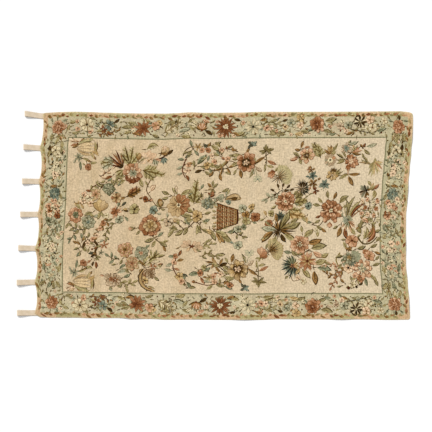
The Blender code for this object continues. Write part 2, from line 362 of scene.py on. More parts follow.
# Dark, middle and light yarn of each dye
brick = ("#4E250E", "#8D5032", "#BA8662")
coral = ("#6F3C22", "#B27853", "#DCB48E")
wine = ("#341405", "#672C15", "#98603F")
tan = ("#553A1B", "#AD8D5C", "#D6BA8C")
rust = ("#2C1A07", "#68461F", "#A87F4A")
gold = ("#4E3716", "#A6834A", "#D2B47D")
olive = ("#3A3214", "#80743F", "#B9AB78")
moss = ("#2B2712", "#696139", "#A69969")
teal = ("#1F2718", "#565F46", "#9C9E7C")
steel = ("#3A402F", "#818165", "#BDB896")
blue = ("#253129", "#5F6C5A", "#A1A68B")
navy = ("#16170F", "#363624", "#6F6A4D")
mauve = ("#4C3724", "#A48C6B", "#D6BE9B")
cream = ("#5E4B2A", "#C6B489", "#DCCDA6")
blush = ("#6E4427", "#CEA880", "#E8CCA8")
black = ("#170E05", "#2E1F0B", "#5A4620")
UNIT_SHAPES = {}  # name: corners as along, aside, half width, dome and on the rim, and the triangles


def outline(name, swelling, stops, strips=2):
    """A unit shape along X: how wide it is at each stop, and how many strips lie side by side."""
    corners, rows = [], []
    for k in range(stops):
        share = k / (stops - 1)
        half = swelling(share)
        aside = [0.0] if half < 0.01 else [2 * s / strips - 1 for s in range(strips + 1)]
        if strips == 4 and half >= 0.01:
            aside = [-1.0, -0.62, 0.0, 0.62, 1.0]
        rows.append(list(range(len(corners), len(corners) + len(aside))))
        for a in aside:
            rim = abs(a) > 0.99 or half < 0.01
            corners.append((share, a, half, 0.0 if rim else 1 - a * a, float(rim)))
    triangles = []
    for low, high in zip(rows, rows[1:]):
        for s in range(max(len(low), len(high)) - 1):
            a, b = low[min(s, len(low) - 1)], low[min(s + 1, len(low) - 1)]
            c, d = high[min(s, len(high) - 1)], high[min(s + 1, len(high) - 1)]
            triangles += [t for t in ((a, c, d), (a, d, b)) if len(set(t)) == 3]
    UNIT_SHAPES[name] = (np.array(corners), np.array(triangles))


outline("leaf", lambda s: 0.5 * math.sin(math.pi * s) ** 1.15, 8, 4)
outline("petal", lambda s: 0.5 * math.sin(math.pi * s ** 1.5) ** 0.62, 8, 4)
outline("disc", lambda s: math.sqrt(s * (1 - s)), 7, 2)
outline("streak", lambda s: 0.5 * math.sin(math.pi * s ** 0.8) ** 0.9, 6, 2)
outline("bar", lambda s: 0.5, 3, 2)
# The darker yarn that shows round a leaf
outline("under", lambda s: 0.5 * math.sin(math.pi * s) ** 0.95, 7, 2)

marks = []
laying = {"x": 0.0, "y": 0.0, "right": 1, "up": 1, "lean": 0, "paler": 0.14}


def shade(dye, tone):
    """A dye's yarn from dark (0) through middle (1) to light (2), a little uneven from patch to patch."""
    tone += 0 if dye == black else laying["paler"]
    tone = min(max(tone + HAND.uniform(-0.12, 0.12), 0.0), 2.0)
    low = min(int(tone), 1)
    mixed = [a + (tone - low) * (b - a) for a, b in zip(yarn(dye[low]), yarn(dye[low + 1]))][:3]
    grey = sum(mixed) / 3
    r, g, b = ((1 - FADED) * c + FADED * grey * aged for c, aged in zip(mixed, OLD_WOOL))
    browned = 0.0 if dye in (blue, navy) else max(1 - g / 0.28, 0.0)  # dark yarn turns brown with age
    r *= 1 + 0.4 * browned * min(max((2.1 - r / g) / 0.7, 0.0), 1.0)
    return r, g, b * (1 - 0.48 * browned), 1.0


def mark(shape, x, y, turn, long, wide, base, tip=None, rim=None, bend=0.0, layer=0):
    """One patch of yarn: places and sizes in steps of 6 mm from the middle, the turn from +X."""
    right, up = laying["right"], laying["up"]
    if laying["lean"]:  # the sprays stand upright though the cloth is pulled askew
        height = laying["y"] + y * up
        x += (2.5 - 0.0326 * height - 0.00038 * height ** 2) * right
    turn = math.radians(turn)
    turn = math.atan2(math.sin(turn) * up, math.cos(turn) * right)
    marks.append((shape, laying["x"] + x * right, laying["y"] + y * up, turn, long, wide,
                  bend * right * up, layer, base, tip or base, rim or base))


def settle(along, across, lift):
    """Puts points of the flat cloth on its face as it lies, lifted by so much."""
    grid = np.array(face_points).reshape(len(ALONG), wide_count, 3)
    i = np.clip(np.interp(along, ALONG, range(len(ALONG))), 0.5, len(ALONG) - 1.501)
    j = np.clip(np.interp(across, ACROSS, range(wide_count)), 0.5, wide_count - 1.501)
    a, b = i.astype(int), j.astype(int)
    u, v = (i - a)[:, None], (j - b)[:, None]
    low = grid[a, b] * (1 - v) + grid[a, b + 1] * v
    high = grid[a + 1, b] * (1 - v) + grid[a + 1, b + 1] * v
    placed = low * (1 - u) + high * u
    placed[:, 2] += lift
    return placed


def weave(name):
    """Joins the patches laid so far into one piece and starts afresh."""
    cells = math.ceil(math.sqrt(len(marks)))
    spots, dyes, flats, cell_uvs, triangles, first, number = [], [], [], [], [], 0, 0
    for shape, (corners, faces) in UNIT_SHAPES.items():
        rows = [row for row in marks if row[0] == shape]
        if not rows:
            continue
        size = np.array([row[1:8] for row in rows])
        x, y, turn, long, wide, bend, layer = [column[:, None] for column in size.T]
        share, aside, half, dome, rim = corners.T
        ahead = share * long
        sideways = aside * half * wide + bend * long * 4 * share * (1 - share)
        if shape == "disc":
            ahead = ahead - long / 2
        along = (x + np.cos(turn) * ahead - np.sin(turn) * sideways) * STEP
        across = (y + np.sin(turn) * ahead + np.cos(turn) * sideways) * STEP
        lift = LIFT + LAYER * layer + DOME * dome
        spots.append(settle(along.ravel(), across.ravel(), lift.ravel()))
        flats.append(np.stack((along / LONG + 0.5, across / WIDE + 0.5), axis=-1).reshape(-1, 2))
        base, tip, edge = [np.array([row[k] for row in rows])[:, None, :] for k in (8, 9, 10)]
        body = base + (tip - base) * share[:, None]
        dyes.append((body + (edge - body) * rim[:, None]).reshape(-1, 4))
        order = number + np.arange(len(rows))[:, None]
        cell_across = (order % cells + 0.1 + 0.8 * share) / cells
        cell_up = (order // cells + 0.5 + 0.4 * aside) / cells
        cell_uvs.append(np.stack((cell_across, cell_up), axis=-1).reshape(-1, 2))
        starts = first + np.arange(len(rows)) * len(corners)
        triangles.append((faces[None] + starts[:, None, None]).reshape(-1, 3))
        first += len(rows) * len(corners)
        number += len(rows)
    marks.clear()
    triangles = np.concatenate(triangles)
    mesh = bpy.data.meshes.new(name)
    mesh.from_pydata(np.concatenate(spots).tolist(), [], triangles.tolist())
    mesh.shade_smooth()
    corner_points = np.empty(len(mesh.loops), dtype=np.int32)
    mesh.loops.foreach_get("vertex_index", corner_points)
    for map_name, values in (("Flat", flats), ("OFBake", cell_uvs)):
        made = mesh.uv_layers.new(name=map_name)
        made.uv.foreach_set("vector", np.concatenate(values)[corner_points].ravel())
    made = mesh.color_attributes.new("Yarn", "FLOAT_COLOR", "POINT")
    made.data.foreach_set("color", np.concatenate(dyes).ravel())
    mesh.materials.append(dyed_weft)
    piece = bpy.data.objects.new(name, mesh)
    bpy.context.scene.collection.objects.link(piece)
    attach(piece, "root")


# Dyed wool weft: matt like the ground, with the same ribs running through every patch
dyed_weft, tree, shader = matt_finish("dyed_wool_weft", 0.92, 0.02)
place = over_cloth("Flat", LONG, WIDE)
dyed = node("VertexColor", layer_name="Yarn")
streak = patches(STREAK, 0.3, 0.7, 0.88, 1.08, 1, ALONG_WEFT)
fleck = patches(6.5 * MM, 0.36, 0.64, 0.74, 1.22, 1)
tone = node("Math", (streak, fleck), operation="MULTIPLY")
tree.links.new(node("VectorMath", {0: dyed, "Scale": tone}, operation="SCALE"),
               shader.inputs["Base Color"])
weft_relief()


def lay(*words):
    """Lays motifs in turn: the name of one, then a row of what it is told for each time it is laid."""
    for word in words:
        if callable(word):
            motif = word
        else:
            motif(*word)


def ring(x, y, count, start, out, shape, long, wide, dye, base, tip, rim, layer, ragged=0.2):
    """Petals round a middle, each starting a little out from it."""
    for k in range(count):
        turn = start + 360 * (k + HAND.uniform(-0.24, 0.24)) / count
        size, lit = 1 + HAND.uniform(-ragged, 0.7 * ragged), HAND.uniform(-0.5, 0.45)
        a, b = x + out * math.cos(math.radians(turn)), y + out * math.sin(math.radians(turn))
        mark(shape, a, b, turn, long * size, wide * size, shade(dye, base + lit), shade(dye, tip + lit),
             shade(dye, rim), layer=layer)
        if shape == "petal" and long > 3.2:  # darker yarn beneath the petal and in the gap beside it
            mark("under", a + 0.25, b - 0.3, turn, 1.08 * long * size, 1.02 * wide * size,
                 shade(dye, HAND.uniform(-0.2, 0.7)), layer=layer - 0.8)
            mark("streak", a, b, turn + 180 / count, HAND.uniform(0.6, 1.05) * long, 0.2 * wide,
                 shade(dye, HAND.uniform(-0.3, 0.4)), layer=layer + 0.6)
        if shape != "streak" and long > 2.4:
            mark("streak", a, b, turn - HAND.uniform(3, 12), 0.75 * long * size, 0.2 * wide,
                 shade(dye, base - 0.6), shade(dye, tip - 0.8), layer=layer + 0.5)
            mark("streak", a, b, turn + HAND.uniform(3, 12), 0.92 * long * size, 0.16 * wide,
                 shade(dye, base + 0.3), shade(dye, tip + 0.5), layer=layer + 0.5)


def dot(x, y, size, dye, tone=1.0, layer=3):
    """A round speck."""
    mark("disc", x, y, 0, size, size, shade(dye, tone), layer=layer)


def path(points, wide, dye, tone=0.6, layer=0):
    """A stem through points: short lengths of yarn along a smooth curve."""
    spine = [points[0], *points, points[-1]]
    places = []
    for p, q, r, s in zip(spine, spine[1:], spine[2:], spine[3:]):
        count = max(2, round(math.dist(q, r) / 1.6))
        for k in range(count):
            t = k / count
            places.append([0.5 * (2 * q[i] + (r[i] - p[i]) * t
                                  + (2 * p[i] - 5 * q[i] + 4 * r[i] - s[i]) * t ** 2
                                  + (3 * q[i] - p[i] - 3 * r[i] + s[i]) * t ** 3) for i in (0, 1)])
    places.append(list(points[-1]))
    for k, (a, b) in enumerate(zip(places, places[1:])):
        turn = math.degrees(math.atan2(b[1] - a[1], b[0] - a[0]))
        thin = wide * (1 - 0.45 * k / len(places))
        mark("bar", a[0], a[1], turn, math.dist(a, b) * 1.12, thin, shade(dye, tone), layer=layer)
    return places


def leaf(x, y, turn, long, dye=olive, wide=None, bend=0.0, layer=1, base=1.05, tip=2.0, rib=0.0):
    """A leaf with a dark outline, a lighter body and a dark midrib."""
    wide = 0.92 * wide if wide else 0.38 * long
    bend = bend or HAND.uniform(-0.1, 0.1)
    mark("streak", x, y, turn + 180 + HAND.uniform(-20, 20), 0.45 * long, 0.9, shade(rust, 0.4), layer=0)
    mark("under", x + HAND.uniform(-0.1, 0.4), y - HAND.uniform(-0.1, 0.5), turn, 1.03 * long, wide + 0.4,
         shade(dye, HAND.uniform(-0.2, 0.6)), bend=bend, layer=layer - 0.6)
    mark("leaf", x, y, turn, 0.98 * long, 0.95 * wide, shade(dye, base), shade(dye, tip), shade(dye, 0.2),
         bend, layer)
    side = HAND.choice((-1, 1))  # one half of the blade is lighter
    mark("streak", x, y, turn + side * 9, 0.8 * long, 0.34 * wide, shade(dye, base + 0.5),
         shade(dye, tip + 0.1), bend=bend * 0.8 + side * 0.07, layer=layer + 0.5)
    mark("streak", x, y, turn, 0.85 * long, 0.14 * wide + 0.2, shade(dye, rib), bend=bend * 0.85,
         layer=layer + 1)
    for k in range(2 if long > 7.5 else 0):
        out = long * (0.25 + 0.25 * k)
        a, b = x + out * math.cos(math.radians(turn)), y + out * math.sin(math.radians(turn))
        for side in (-38, 38):
            mark("streak", a, b, turn + side, 0.62 * wide, 0.4, shade(dye, rib + 0.2), layer=layer + 1)


def twig(points, dye, leaf_dye, count=5, size=4, layer=1):
    """A stem with single leaves to either side and one at its tip."""
    places = path(points, 0.9, dye, 0.5, layer - 1)
    for k in range(count):
        spot = (k + 0.6) / (count + 0.2) * (len(places) - 1)
        a, b = places[int(spot)], places[int(spot) + 1]
        turn = math.degrees(math.atan2(b[1] - a[1], b[0] - a[0]))
        side = 1 if k % 2 else -1
        leaf(a[0], a[1], turn + side * HAND.uniform(35, 60), size * HAND.uniform(0.8, 1.15), leaf_dye,
             layer=layer)
    leaf(*places[-1], turn, size, leaf_dye, layer=layer)


def fan(x, y, turn, long, spread, dye, count=8, wide=0.16, tone=0.5, layer=1):
    """Narrow blades spreading from one foot."""
    for k in range(count):
        lean = 2 * k / (count - 1) - 1
        blade = long * (1 - 0.22 * lean * lean) * HAND.uniform(0.88, 1.08)
        tint = tone + (0.9 if k % 2 else -0.3)
        mark("streak", x, y, turn + lean * spread / 2, blade * (0.86 if k % 2 else 1),
             0.95 * wide * blade, shade(dye, tint - 0.3), shade(dye, tint + 0.4), bend=0.08 * lean,
             layer=layer)


def frond(x, y, turn, long, wide, dye, count=7, tone=0.7, layer=1):
    """A feathered leaf: a rib with pairs of narrow blades that shorten to its tip."""
    ahead, aside = math.cos(math.radians(turn)), math.sin(math.radians(turn))
    mark("streak", x, y, turn, long, 0.09 * long, shade(dye, 0.2), layer=layer + 1)
    for k in range(count):
        out = long * (0.12 + 0.8 * k / count)
        for side in (-1, 1):
            blade = wide * (1.05 - 0.6 * k / count) * HAND.uniform(0.85, 1.1)
            tint = tone + (0.6 if (k + side) % 3 else -0.5)
            mark("streak", x + ahead * out, y + aside * out, turn + side * 44, blade, 0.34 * blade,
                 shade(dye, tint - 0.2), shade(dye, tint + 0.5), bend=-0.1 * side, layer=layer)


def rose(x, y, size, dye, heart=gold, layer=2, turn=0):
    """A full rose: three rings of rounded petals round a small heart."""
    ring(x, y, 8, turn, 0.28 * size, "petal", 0.76 * size, 0.72 * size, dye, 0.5, 1.6, 0.1, layer)
    ring(x, y, 6, turn + 20, 0.12 * size, "petal", 0.56 * size, 0.52 * size, dye, 0.3, 1.9, 0.2,
         layer + 1)
    ring(x, y, 5, turn, 0, "petal", 0.38 * size, 0.34 * size, heart, 0.4, 1.8, 0.1, layer + 2)
    dot(x, y, 0.22 * size, heart, 0.2, layer + 3)


def floret(x, y, size, dye, eye=gold, count=5, layer=2, tone=1.0):
    """A small open flower with an eye."""
    dot(x + 0.2, y - 0.3, 1.6 * size, moss, HAND.uniform(0, 0.8), layer - 0.6)
    ring(x, y, count, HAND.uniform(0, 70), 0.05 * size, "petal", 0.95 * size, 0.95 * size, dye, tone,
         tone + 0.8, 0.0, layer)
    dot(x, y, 0.5 * size, eye, 0.3, layer + 1)


def star(x, y, size, dye, eye=black, count=6, layer=2, tone=0.9, start=15, wide=0.34):
    """A flower or leaf whorl of pointed blades."""
    ring(x, y, count, start, 0, "leaf", size, wide * size, dye, tone - 0.4, tone + 0.7, tone - 0.8, layer,
         0.16)
    dot(x, y, 0.3 * size, eye, 0.3, layer + 1)


def tulip(x, y, turn, size, dye, layer=2):
    """A cup of three long petals seen from the side."""
    for lean, tone in ((-24, 0.6), (24, 0.8), (0, 1.2)):
        mark("petal", x, y, turn + lean, size * (1.05 if lean else 1.2), 0.55 * size,
             shade(dye, tone - 0.3), shade(dye, tone + 0.7), shade(dye, 0.1), layer=layer + (lean == 0))
    leaf(x, y, turn + 150, 0.6 * size, olive, layer=layer)
    leaf(x, y, turn - 150, 0.5 * size, olive, layer=layer)


def bud(x, y, turn, size, dye, cup=olive, layer=2):
    """A closed bud between two sepals."""
    mark("petal", x, y, turn, size, 0.62 * size, shade(dye, 0.5), shade(dye, 1.5), shade(dye, 0.1),
         layer=layer)
    for lean in (-32, 32):
        leaf(x, y, turn + lean, 0.72 * size, cup, 0.26 * size, layer=layer + 1)


# The guard: slanted leaves in red-brown and olive yarn, one after another round the whole cloth.
# Their gap, each side's half length and how far it is from the middle are in steps.
LEAF_GAP = 4.6
for long_side, reach, out in ((True, 180, 99.6), (False, 97, 181.4)):
    for up in (1, -1):
        for k in range(int(2 * reach / LEAF_GAP)):
            spot = -reach + LEAF_GAP * k + HAND.uniform(-1, 1)
            dye = HAND.choice((wine, rust, brick, olive, rust, moss, coral))
            turn = HAND.uniform(0, 30) * (1 if k % 2 else -1)
            away = out + HAND.uniform(-0.5, 0.5)
            x, y = (spot, away * up) if long_side else (away * up, spot)
            turn = turn if long_side else turn + 90
            mark("leaf", x, y, turn, HAND.uniform(3.2, 7.2), HAND.uniform(1.5, 3.0), shade(dye, 0.7),
                 shade(dye, 1.6), shade(dye, 0.6))
            dye = (olive, cream, tan, moss, blush)[k % 5]
            mark("leaf", x, y + (0.8 if long_side else 0), turn + 24, HAND.uniform(2.4, 4), 1.3,
                 shade(dye, 0.9), layer=1)
weave("guard_leaves")


def posy(x, y, size, dyes, count=5, spread=4.0):
    """A little bunch: small flowers with dark eyes on dark twigs."""
    for k in range(count):
        turn = math.radians(HAND.uniform(0, 360))
        out = spread * HAND.uniform(0.35, 1.0)
        a, b = x + out * math.cos(turn), y + out * math.sin(turn)
        path([(x, y), (a, b)], 0.5, moss, 0.4)
        floret(a, b, size * HAND.uniform(0.7, 1.1), HAND.choice(dyes), HAND.choice((black, wine, black)))


def filler(places):
    """Small marks that fill the ground between the flowers: leaves, twigs, specks and tiny flowers."""
    for x, y in places:
        x, y = x + HAND.uniform(-2.2, 2.2), y + HAND.uniform(-1.3, 1.3)
        turn, kind = HAND.uniform(0, 360), HAND.random()
        if kind < 0.46:
            leaf(x, y, turn, HAND.uniform(2.8, 4.6), HAND.choice((olive, moss, rust, moss, teal)), layer=0)
        elif kind < 0.62:
            mark("streak", x, y, turn, HAND.uniform(4, 7), 0.7,
                 shade(HAND.choice((black, moss, rust)), 0.3),
                 bend=HAND.uniform(-0.3, 0.3))
        elif kind < 0.8:
            dot(x, y, HAND.uniform(1.0, 1.7), HAND.choice((black, wine, rust, moss)), 0.4, 0)
        else:
            floret(x, y, HAND.uniform(1.8, 2.6), HAND.choice((cream, blush, steel, coral)), black, layer=0)


def corner_rose(x, y):
    """A full rose among leaves, for a corner of the border."""
    rose(x, y, 6.6, coral, brick, turn=HAND.uniform(0, 40))
    ring(x, y, 9, 10, 2.2, "petal", 4.2, 2.6, brick, 0.7, 1.7, 0.2, 4, 0.3)
    ring(x + 0.6, y - 0.4, 7, 30, 1.2, "leaf", 3.8, 1.9, wine, 0.9, 1.9, 0.5, 5, 0.3)
    ring(x, y, 5, 0, 0.2, "petal", 2.4, 1.6, coral, 0.6, 1.8, 0.4, 6)
    for turn, far, dye in (
            (50, 8, teal), (95, 8.5, moss), (140, 8, teal), (-60, 8, olive), (-120, 8, moss),
            (0, 8, rust), (180, 8, olive)):
        a, b = x + far * math.cos(math.radians(turn)), y + far * math.sin(math.radians(turn))
        leaf(a, b, turn + HAND.uniform(-60, 60), 4.6, dye)


def flowered_side():
    """One long side of the border, written for the upper one."""
    for x in (-165, 174):
        corner_rose(x, 88)
    lay(leaf, (-157, 84, 70, 7, olive), (-154, 92, 20, 7, olive), (-152, 82, -10, 7, moss),
        (-158, 94, 170, 5, steel), (-143, 84, 200, 6, moss), (-128, 96, 160, 6, moss),
        (-127, 84, 20, 7, olive), (-110, 93, 40, 7, black), (-117, 84, -30, 6, wine),
        (-102, 89, 14, 9, moss), (-96, 94, -16, 11, moss), (-100, 82, 20, 9, olive),
        (-92, 83, -10, 9, rust), (-90, 90, 200, 7, moss), (-72, 82, -20, 8, moss),
        (-73, 95, 150, 6, olive), (-45, 84, 14, 12, steel), (-43, 80, -8, 10, olive),
        (-36, 93, 30, 8, moss), (-30, 85, 130, 8, olive), (-19, 86, -30, 9, black),
        (-14, 94, 160, 8, coral), (-26, 92, 150, 8, cream), (8, 83, -20, 9, rust), (12, 82, 12, 9, olive),
        (17, 95, 170, 7, black), (36, 95, 10, 8, rust), (40, 97, 60, 5, olive), (44, 81, 0, 8, olive),
        (52, 83, 160, 7, moss), (54, 96, 200, 7, moss), (58, 94, 20, 6, black), (70, 81, 10, 10, gold),
        (76, 84, -10, 10, moss), (84, 84, 30, 7, teal), (101, 94, 12, 12, moss), (98, 85, -16, 9, moss),
        (104, 81, 10, 7, teal), (107, 89, 20, 7, mauve), (128, 83, 200, 7, rust), (131, 96, 40, 6, black),
        (134, 93, -30, 7, moss), (128, 93, 200, 7, moss), (152, 84, 16, 10, teal),
        (150, 94, 160, 7, blush), (158, 91, 70, 6, steel), (175, 94, 92, 6, black),
        (166, 96, 120, 5, moss),
        floret, (-133, 84, 3, coral, wine), (-68, 91.6, 4.6, coral, gold), (-64, 94, 3, gold, rust),
        (47, 87.4, 3, blush, wine), (42.6, 87.4, 3.2, coral, wine), (61, 88, 3.2, tan, wine),
        (67, 92.4, 4, steel, blue), (77, 97, 4.4, gold, cream), (76, 90, 3.6, blush, gold),
        (116, 89, 3.4, mauve, wine), (124, 90, 4.6, steel, navy), (122, 84, 2.8, blush, wine),
        (146, 95, 4.4, blush, gold), (148, 87.4, 4.6, cream, brick), (140, 88, 3, cream, moss),
        (160, 94, 3.4, cream, gold),
        ring, (-136.5, 90.6, 8, 0, 1.2, "petal", 6.4, 5, cream, 0.9, 1.8, 0, 2),
        dot, (-136.5, 90.6, 2.2, black),
        ring, (-114, 91, 5, 60, 0.6, "petal", 5, 3.6, blue, 0.7, 1.6, 0, 2),
        (-120, 87, 6, 0, 0.4, "leaf", 4.6, 2.2, wine, 0.6, 1.5, 0, 2),
        twig, ([(-128, 92), (-119, 93), (-110, 90)], black, moss, 6, 4.4),
        ([(-126, 82), (-118, 82), (-108, 85)], wine, rust, 6, 4),
        star, (-80.7, 88.3, 9.4, brick, wine, 9, 2, 0.7, 15, 0.36),
        ring, (-80.7, 88.3, 6, 20, 0, "leaf", 6, 2.6, wine, 0.8, 1.7, 0.1, 4),
        frond, (-61, 83, 36, 22, 9, moss, 7, 0.5), (-60, 84, 30, 20, 6, cream, 6, 0.8, 2),
        leaf, (-56, 94, 10, 8, moss), (-62, 90, 130, 6, black),
        fan, (-22, 86, 90, 10, 130, rust, 9, 0.24, 0.9), (-22, 87, 88, 8, 110, coral, 7, 0.26, 0.9, 2),
        dot, (-22, 86, 2.4, wine),
        ring, (1.8, 89.2, 15, 0, 1.8, "streak", 9.4, 2.6, brick, 0.3, 1.2, 0, 2, 0.2),
        (1.8, 89.2, 11, 12, 1.2, "streak", 7, 2.2, wine, 0.8, 1.9, 0.3, 3, 0.2),
        (1.8, 89.2, 7, 0, 0, "petal", 3, 1.8, cream, 0.8, 1.7, 0.2, 4),
        dot, (1.8, 89.2, 1.2, wine, 0.4, 5),
        ring, (29, 88.7, 8, 0, 1.2, "leaf", 7.6, 3.8, cream, 1, 1.7, 0, 2),
        (29, 88.7, 8, 22, 1, "streak", 5, 1.4, steel, 0.8, 1.8, 0.4, 3),
        dot, (29, 88.7, 2.3, black, 0.1, 4),
        path, ([(36, 86), (44, 89), (54, 86), (64, 89), (72, 87)], 0.8, rust, 0.4),
        twig, ([(38, 91), (46, 93), (54, 91)], moss, olive, 6, 4.4),
        ([(46, 84), (54, 82), (62, 84)], rust, olive, 6, 4.2),
        dot, (42.6, 87.4, 1.8, wine, 0.4, 5), (61, 88.6, 1.8, wine, 0.3, 5), (116, 84.6, 1.8, wine),
        (121, 86, 1.6, wine),
        ring, (92.7, 91.3, 11, 0, 2, "petal", 5.4, 4.2, brick, 0.6, 1.4, 0, 2, 0.24),
        (93, 91, 7, 0, 0.6, "petal", 4, 3, wine, 0.9, 1.7, 0, 4),
        (94.6, 88, 5, 260, 1.4, "petal", 5, 4, coral, 0.8, 1.6, 0, 3),
        dot, (92.6, 92, 1.6, wine, 0.2, 6),
        ring, (136, 93, 8, 10, 0.8, "leaf", 6.6, 2.6, black, 0.7, 1.6, 0.2, 3),
        (136, 93, 6, 0, 1, "petal", 5, 4.4, cream, 0.9, 1.8, 0, 2),
        twig, ([(126, 86), (136, 84), (146, 82)], black, moss, 6, 4.2),
        ([(138, 97), (146, 91), (156, 88)], black, olive, 5, 4))
    for k in range(7):
        leaf(167 + 2.2 * k, 80 + k % 2, 268 + HAND.uniform(-20, 20), 6, (olive, cream, moss)[k % 3], 2)


def flowered_end():
    """One short side of the border, with X from the middle of the band and Y down from the upper corner."""
    for x, y, turn, dye in (
            (-5, 74, 96, moss), (-1, 71, 60, olive), (5, 74, 120, rust), (-2, 78, 20, moss),
            (-5, 66, 250, olive), (6, 68, 280, moss), (7, 66, 100, olive), (-6, 71, 280, black)):
        leaf(x, y, turn, 8.4, dye)
    lay(floret, (0, 65, 4.6, cream, black), dot, (-5, 61, 2.4, black), (7, 62, 2, black),
        posy, (1, 57, 2.8, (cream, cream, steel), 5, 6), dot, (-3, 53, 2, black),
        twig, ([(-6, 50), (0, 53), (7, 55)], moss, teal, 5, 3.6),
        posy, (-1, 44, 3, (cream, blush, cream), 7, 6),
        dot, (3, 49, 2.2, black), (-6, 47, 1.8, black), (5, 40, 2, black),
        leaf, (-7, 36, 20, 6, teal), (5, 35, 100, 6, olive), (-5, 29, 5, 8, rust, 3),
        (3, 28, 40, 6, moss),
        ring, (0, 21, 7, 0, 0.8, "petal", 5.6, 4.4, blue, 0.5, 1.3, 0, 2),
        (0, 21, 5, 30, 0, "petal", 3.2, 2.4, blue, 0.9, 1.7, 0.2, 3), dot, (0, 21, 1.6, gold),
        leaf, (6, 22, -70, 7, moss), (8, 18, -30, 5, teal), (-7, 18, 240, 5, olive),
        posy, (0, 12, 3.2, (blush, coral, cream), 6, 6), (1, 3, 3.4, (coral, cream, blush, wine), 7, 6.5),
        dot, (-5, 8, 2, wine), (6, 4, 2, wine), leaf, (7, 10, 80, 5, olive), (-7, 0, 110, 5, moss),
        posy, (-1, -6, 3.2, (steel, cream, teal), 6, 6), leaf, (5, -8, 300, 6, teal),
        (-4, -12, 250, 6, moss), twig, ([(6, -10), (0, -17), (-3, -24)], moss, teal, 6, 4.6),
        leaf, (4, -18, 320, 6, olive), (-6, -18, 200, 5, olive), posy, (0, -32, 3, (cream, blush), 5, 5),
        (0, -41, 3.4, (cream, steel, cream), 7, 6.5),
        dot, (-3, -34, 2.2, black), (4, -38, 2.2, black), (-5, -46, 2, black),
        leaf, (3, -46, 300, 6, teal), (-6, -51, 20, 7, coral, 2.6), (4, -52, -30, 6, olive),
        ring, (0, -60, 8, 0, 0.8, "petal", 5.2, 3.6, steel, 0.9, 1.9, 0.3, 2),
        (0, -60, 5, 20, 0, "petal", 3.2, 2.4, cream, 0.6, 1.6, 0.2, 3), dot, (0, -60, 1.5, olive))
    for x, y, turn, dye in (
            (-5, -66, 220, moss), (5, -66, 300, olive), (-4, -73, 60, teal), (4, -74, 100, moss),
            (-1, -78, 250, olive), (7, -58, 80, olive), (-7, -56, 100, teal)):
        leaf(x, y, turn, 8.4, dye)


for up, name in ((1, "border_far_side"), (-1, "border_near_side")):
    laying.update(x=0.0 if up > 0 else -6.0, y=0.0, right=1, up=up, lean=1)
    flowered_side()
    filler([(x, y) for x in range(-156, 166, 6) for y in (81, 85, 89.5, 93.5)])
    weave(name)
for x, right, name in ((-169, 1, "border_loop_end"), (170, -1, "border_far_end")):
    laying.update(x=float(x), y=0.0, right=right, up=1, lean=0)
    flowered_end()
    filler([(x, y) for x in (-8.5, -4, 0, 4, 8) for y in range(-77, 79, 5)])
    weave(name)
laying.update(x=0.0, y=0.0, right=1, up=1, lean=1, paler=0.0)


# The field
# The middle of the cloth is cream, with loose sprays of flowers round a wicker basket. They are woven
# of the same dyed wool, in browns, brick, gold and grey-greens, each petal outlined in darker yarn.
def poppy(x, y, size, left, right, layer=2):
    """A wide flat flower whose petals change dye from one side to the other, with a ringed black eye."""
    for k in range(12):
        turn = 30 * k + HAND.uniform(-5, 5)
        dye = right if math.cos(math.radians(turn - 20)) > 0.1 else left
        mark("petal", x, y, turn, size * HAND.uniform(0.92, 1.05), 0.52 * size, shade(dye, 0.6),
             shade(dye, 1.5), shade(dye, 0.4), layer=layer + k % 2)
    ring(x, y, 12, 8, 0.22 * size, "streak", 0.5 * size, 0.08 * size, rust, 0.4, 0.9, 0.3, layer + 2)
    ring(x, y, 16, 0, 0.3 * size, "streak", 0.6 * size, 0.05 * size, tan, 1.4, 1.8, 1.0, layer + 2)
    ring(x, y, 6, 0, 0.06 * size, "petal", 0.15 * size, 0.13 * size, cream, 1.4, 1.9, 0.8, layer + 3)
    dot(x, y, 0.16 * size, black, 0.1, layer + 4)


def peony(x, y, size, dye, heart, turn=0, eye=cream, layer=2):
    """A blown flower: broad outer petals, a cup of darker ones and a heart of small bright petals."""
    ring(x, y, 10, turn, 0.3 * size, "petal", 0.76 * size, 0.52 * size, dye, 0.6, 1.7, 0.0, layer, 0.3)
    ring(x, y, 5, turn + 40, 0.34 * size, "petal", 0.66 * size, 0.36 * size, blush, 0.6, 1.7, 0.1,
         layer + 0.4, 0.3)
    ring(x, y, 10, turn + 22, 0.26 * size, "petal", 0.5 * size, 0.34 * size, dye, 0.1, 1.4, 0.0,
         layer + 1, 0.3)
    ring(x, y, 9, turn + 8, 0.36 * size, "streak", 0.52 * size, 0.07 * size, rust, 0.1, 0.6, 0.0,
         layer + 2, 0.3)
    ring(x, y, 7, turn, 0.08 * size, "petal", 0.38 * size, 0.3 * size, heart, 0.6, 1.8, 0.1, layer + 2)
    ring(x, y, 5, turn + 30, 0, "petal", 0.2 * size, 0.17 * size, eye, 1.0, 1.9, 0.3, layer + 3)
    dot(x, y, 0.14 * size, black, 0.4, layer + 4)


def thistle(x, y, turn, size, dye, spread=150, layer=2):
    """Fine pointed blades round a dark head."""
    fan(x, y, turn, size, spread, dye, 13, 0.13, 0.3, layer)
    fan(x, y, turn + 9, 0.7 * size, spread * 0.8, dye, 9, 0.16, 0.9, layer + 1)
    dot(x, y, 0.3 * size, black, 0.6, layer + 2)


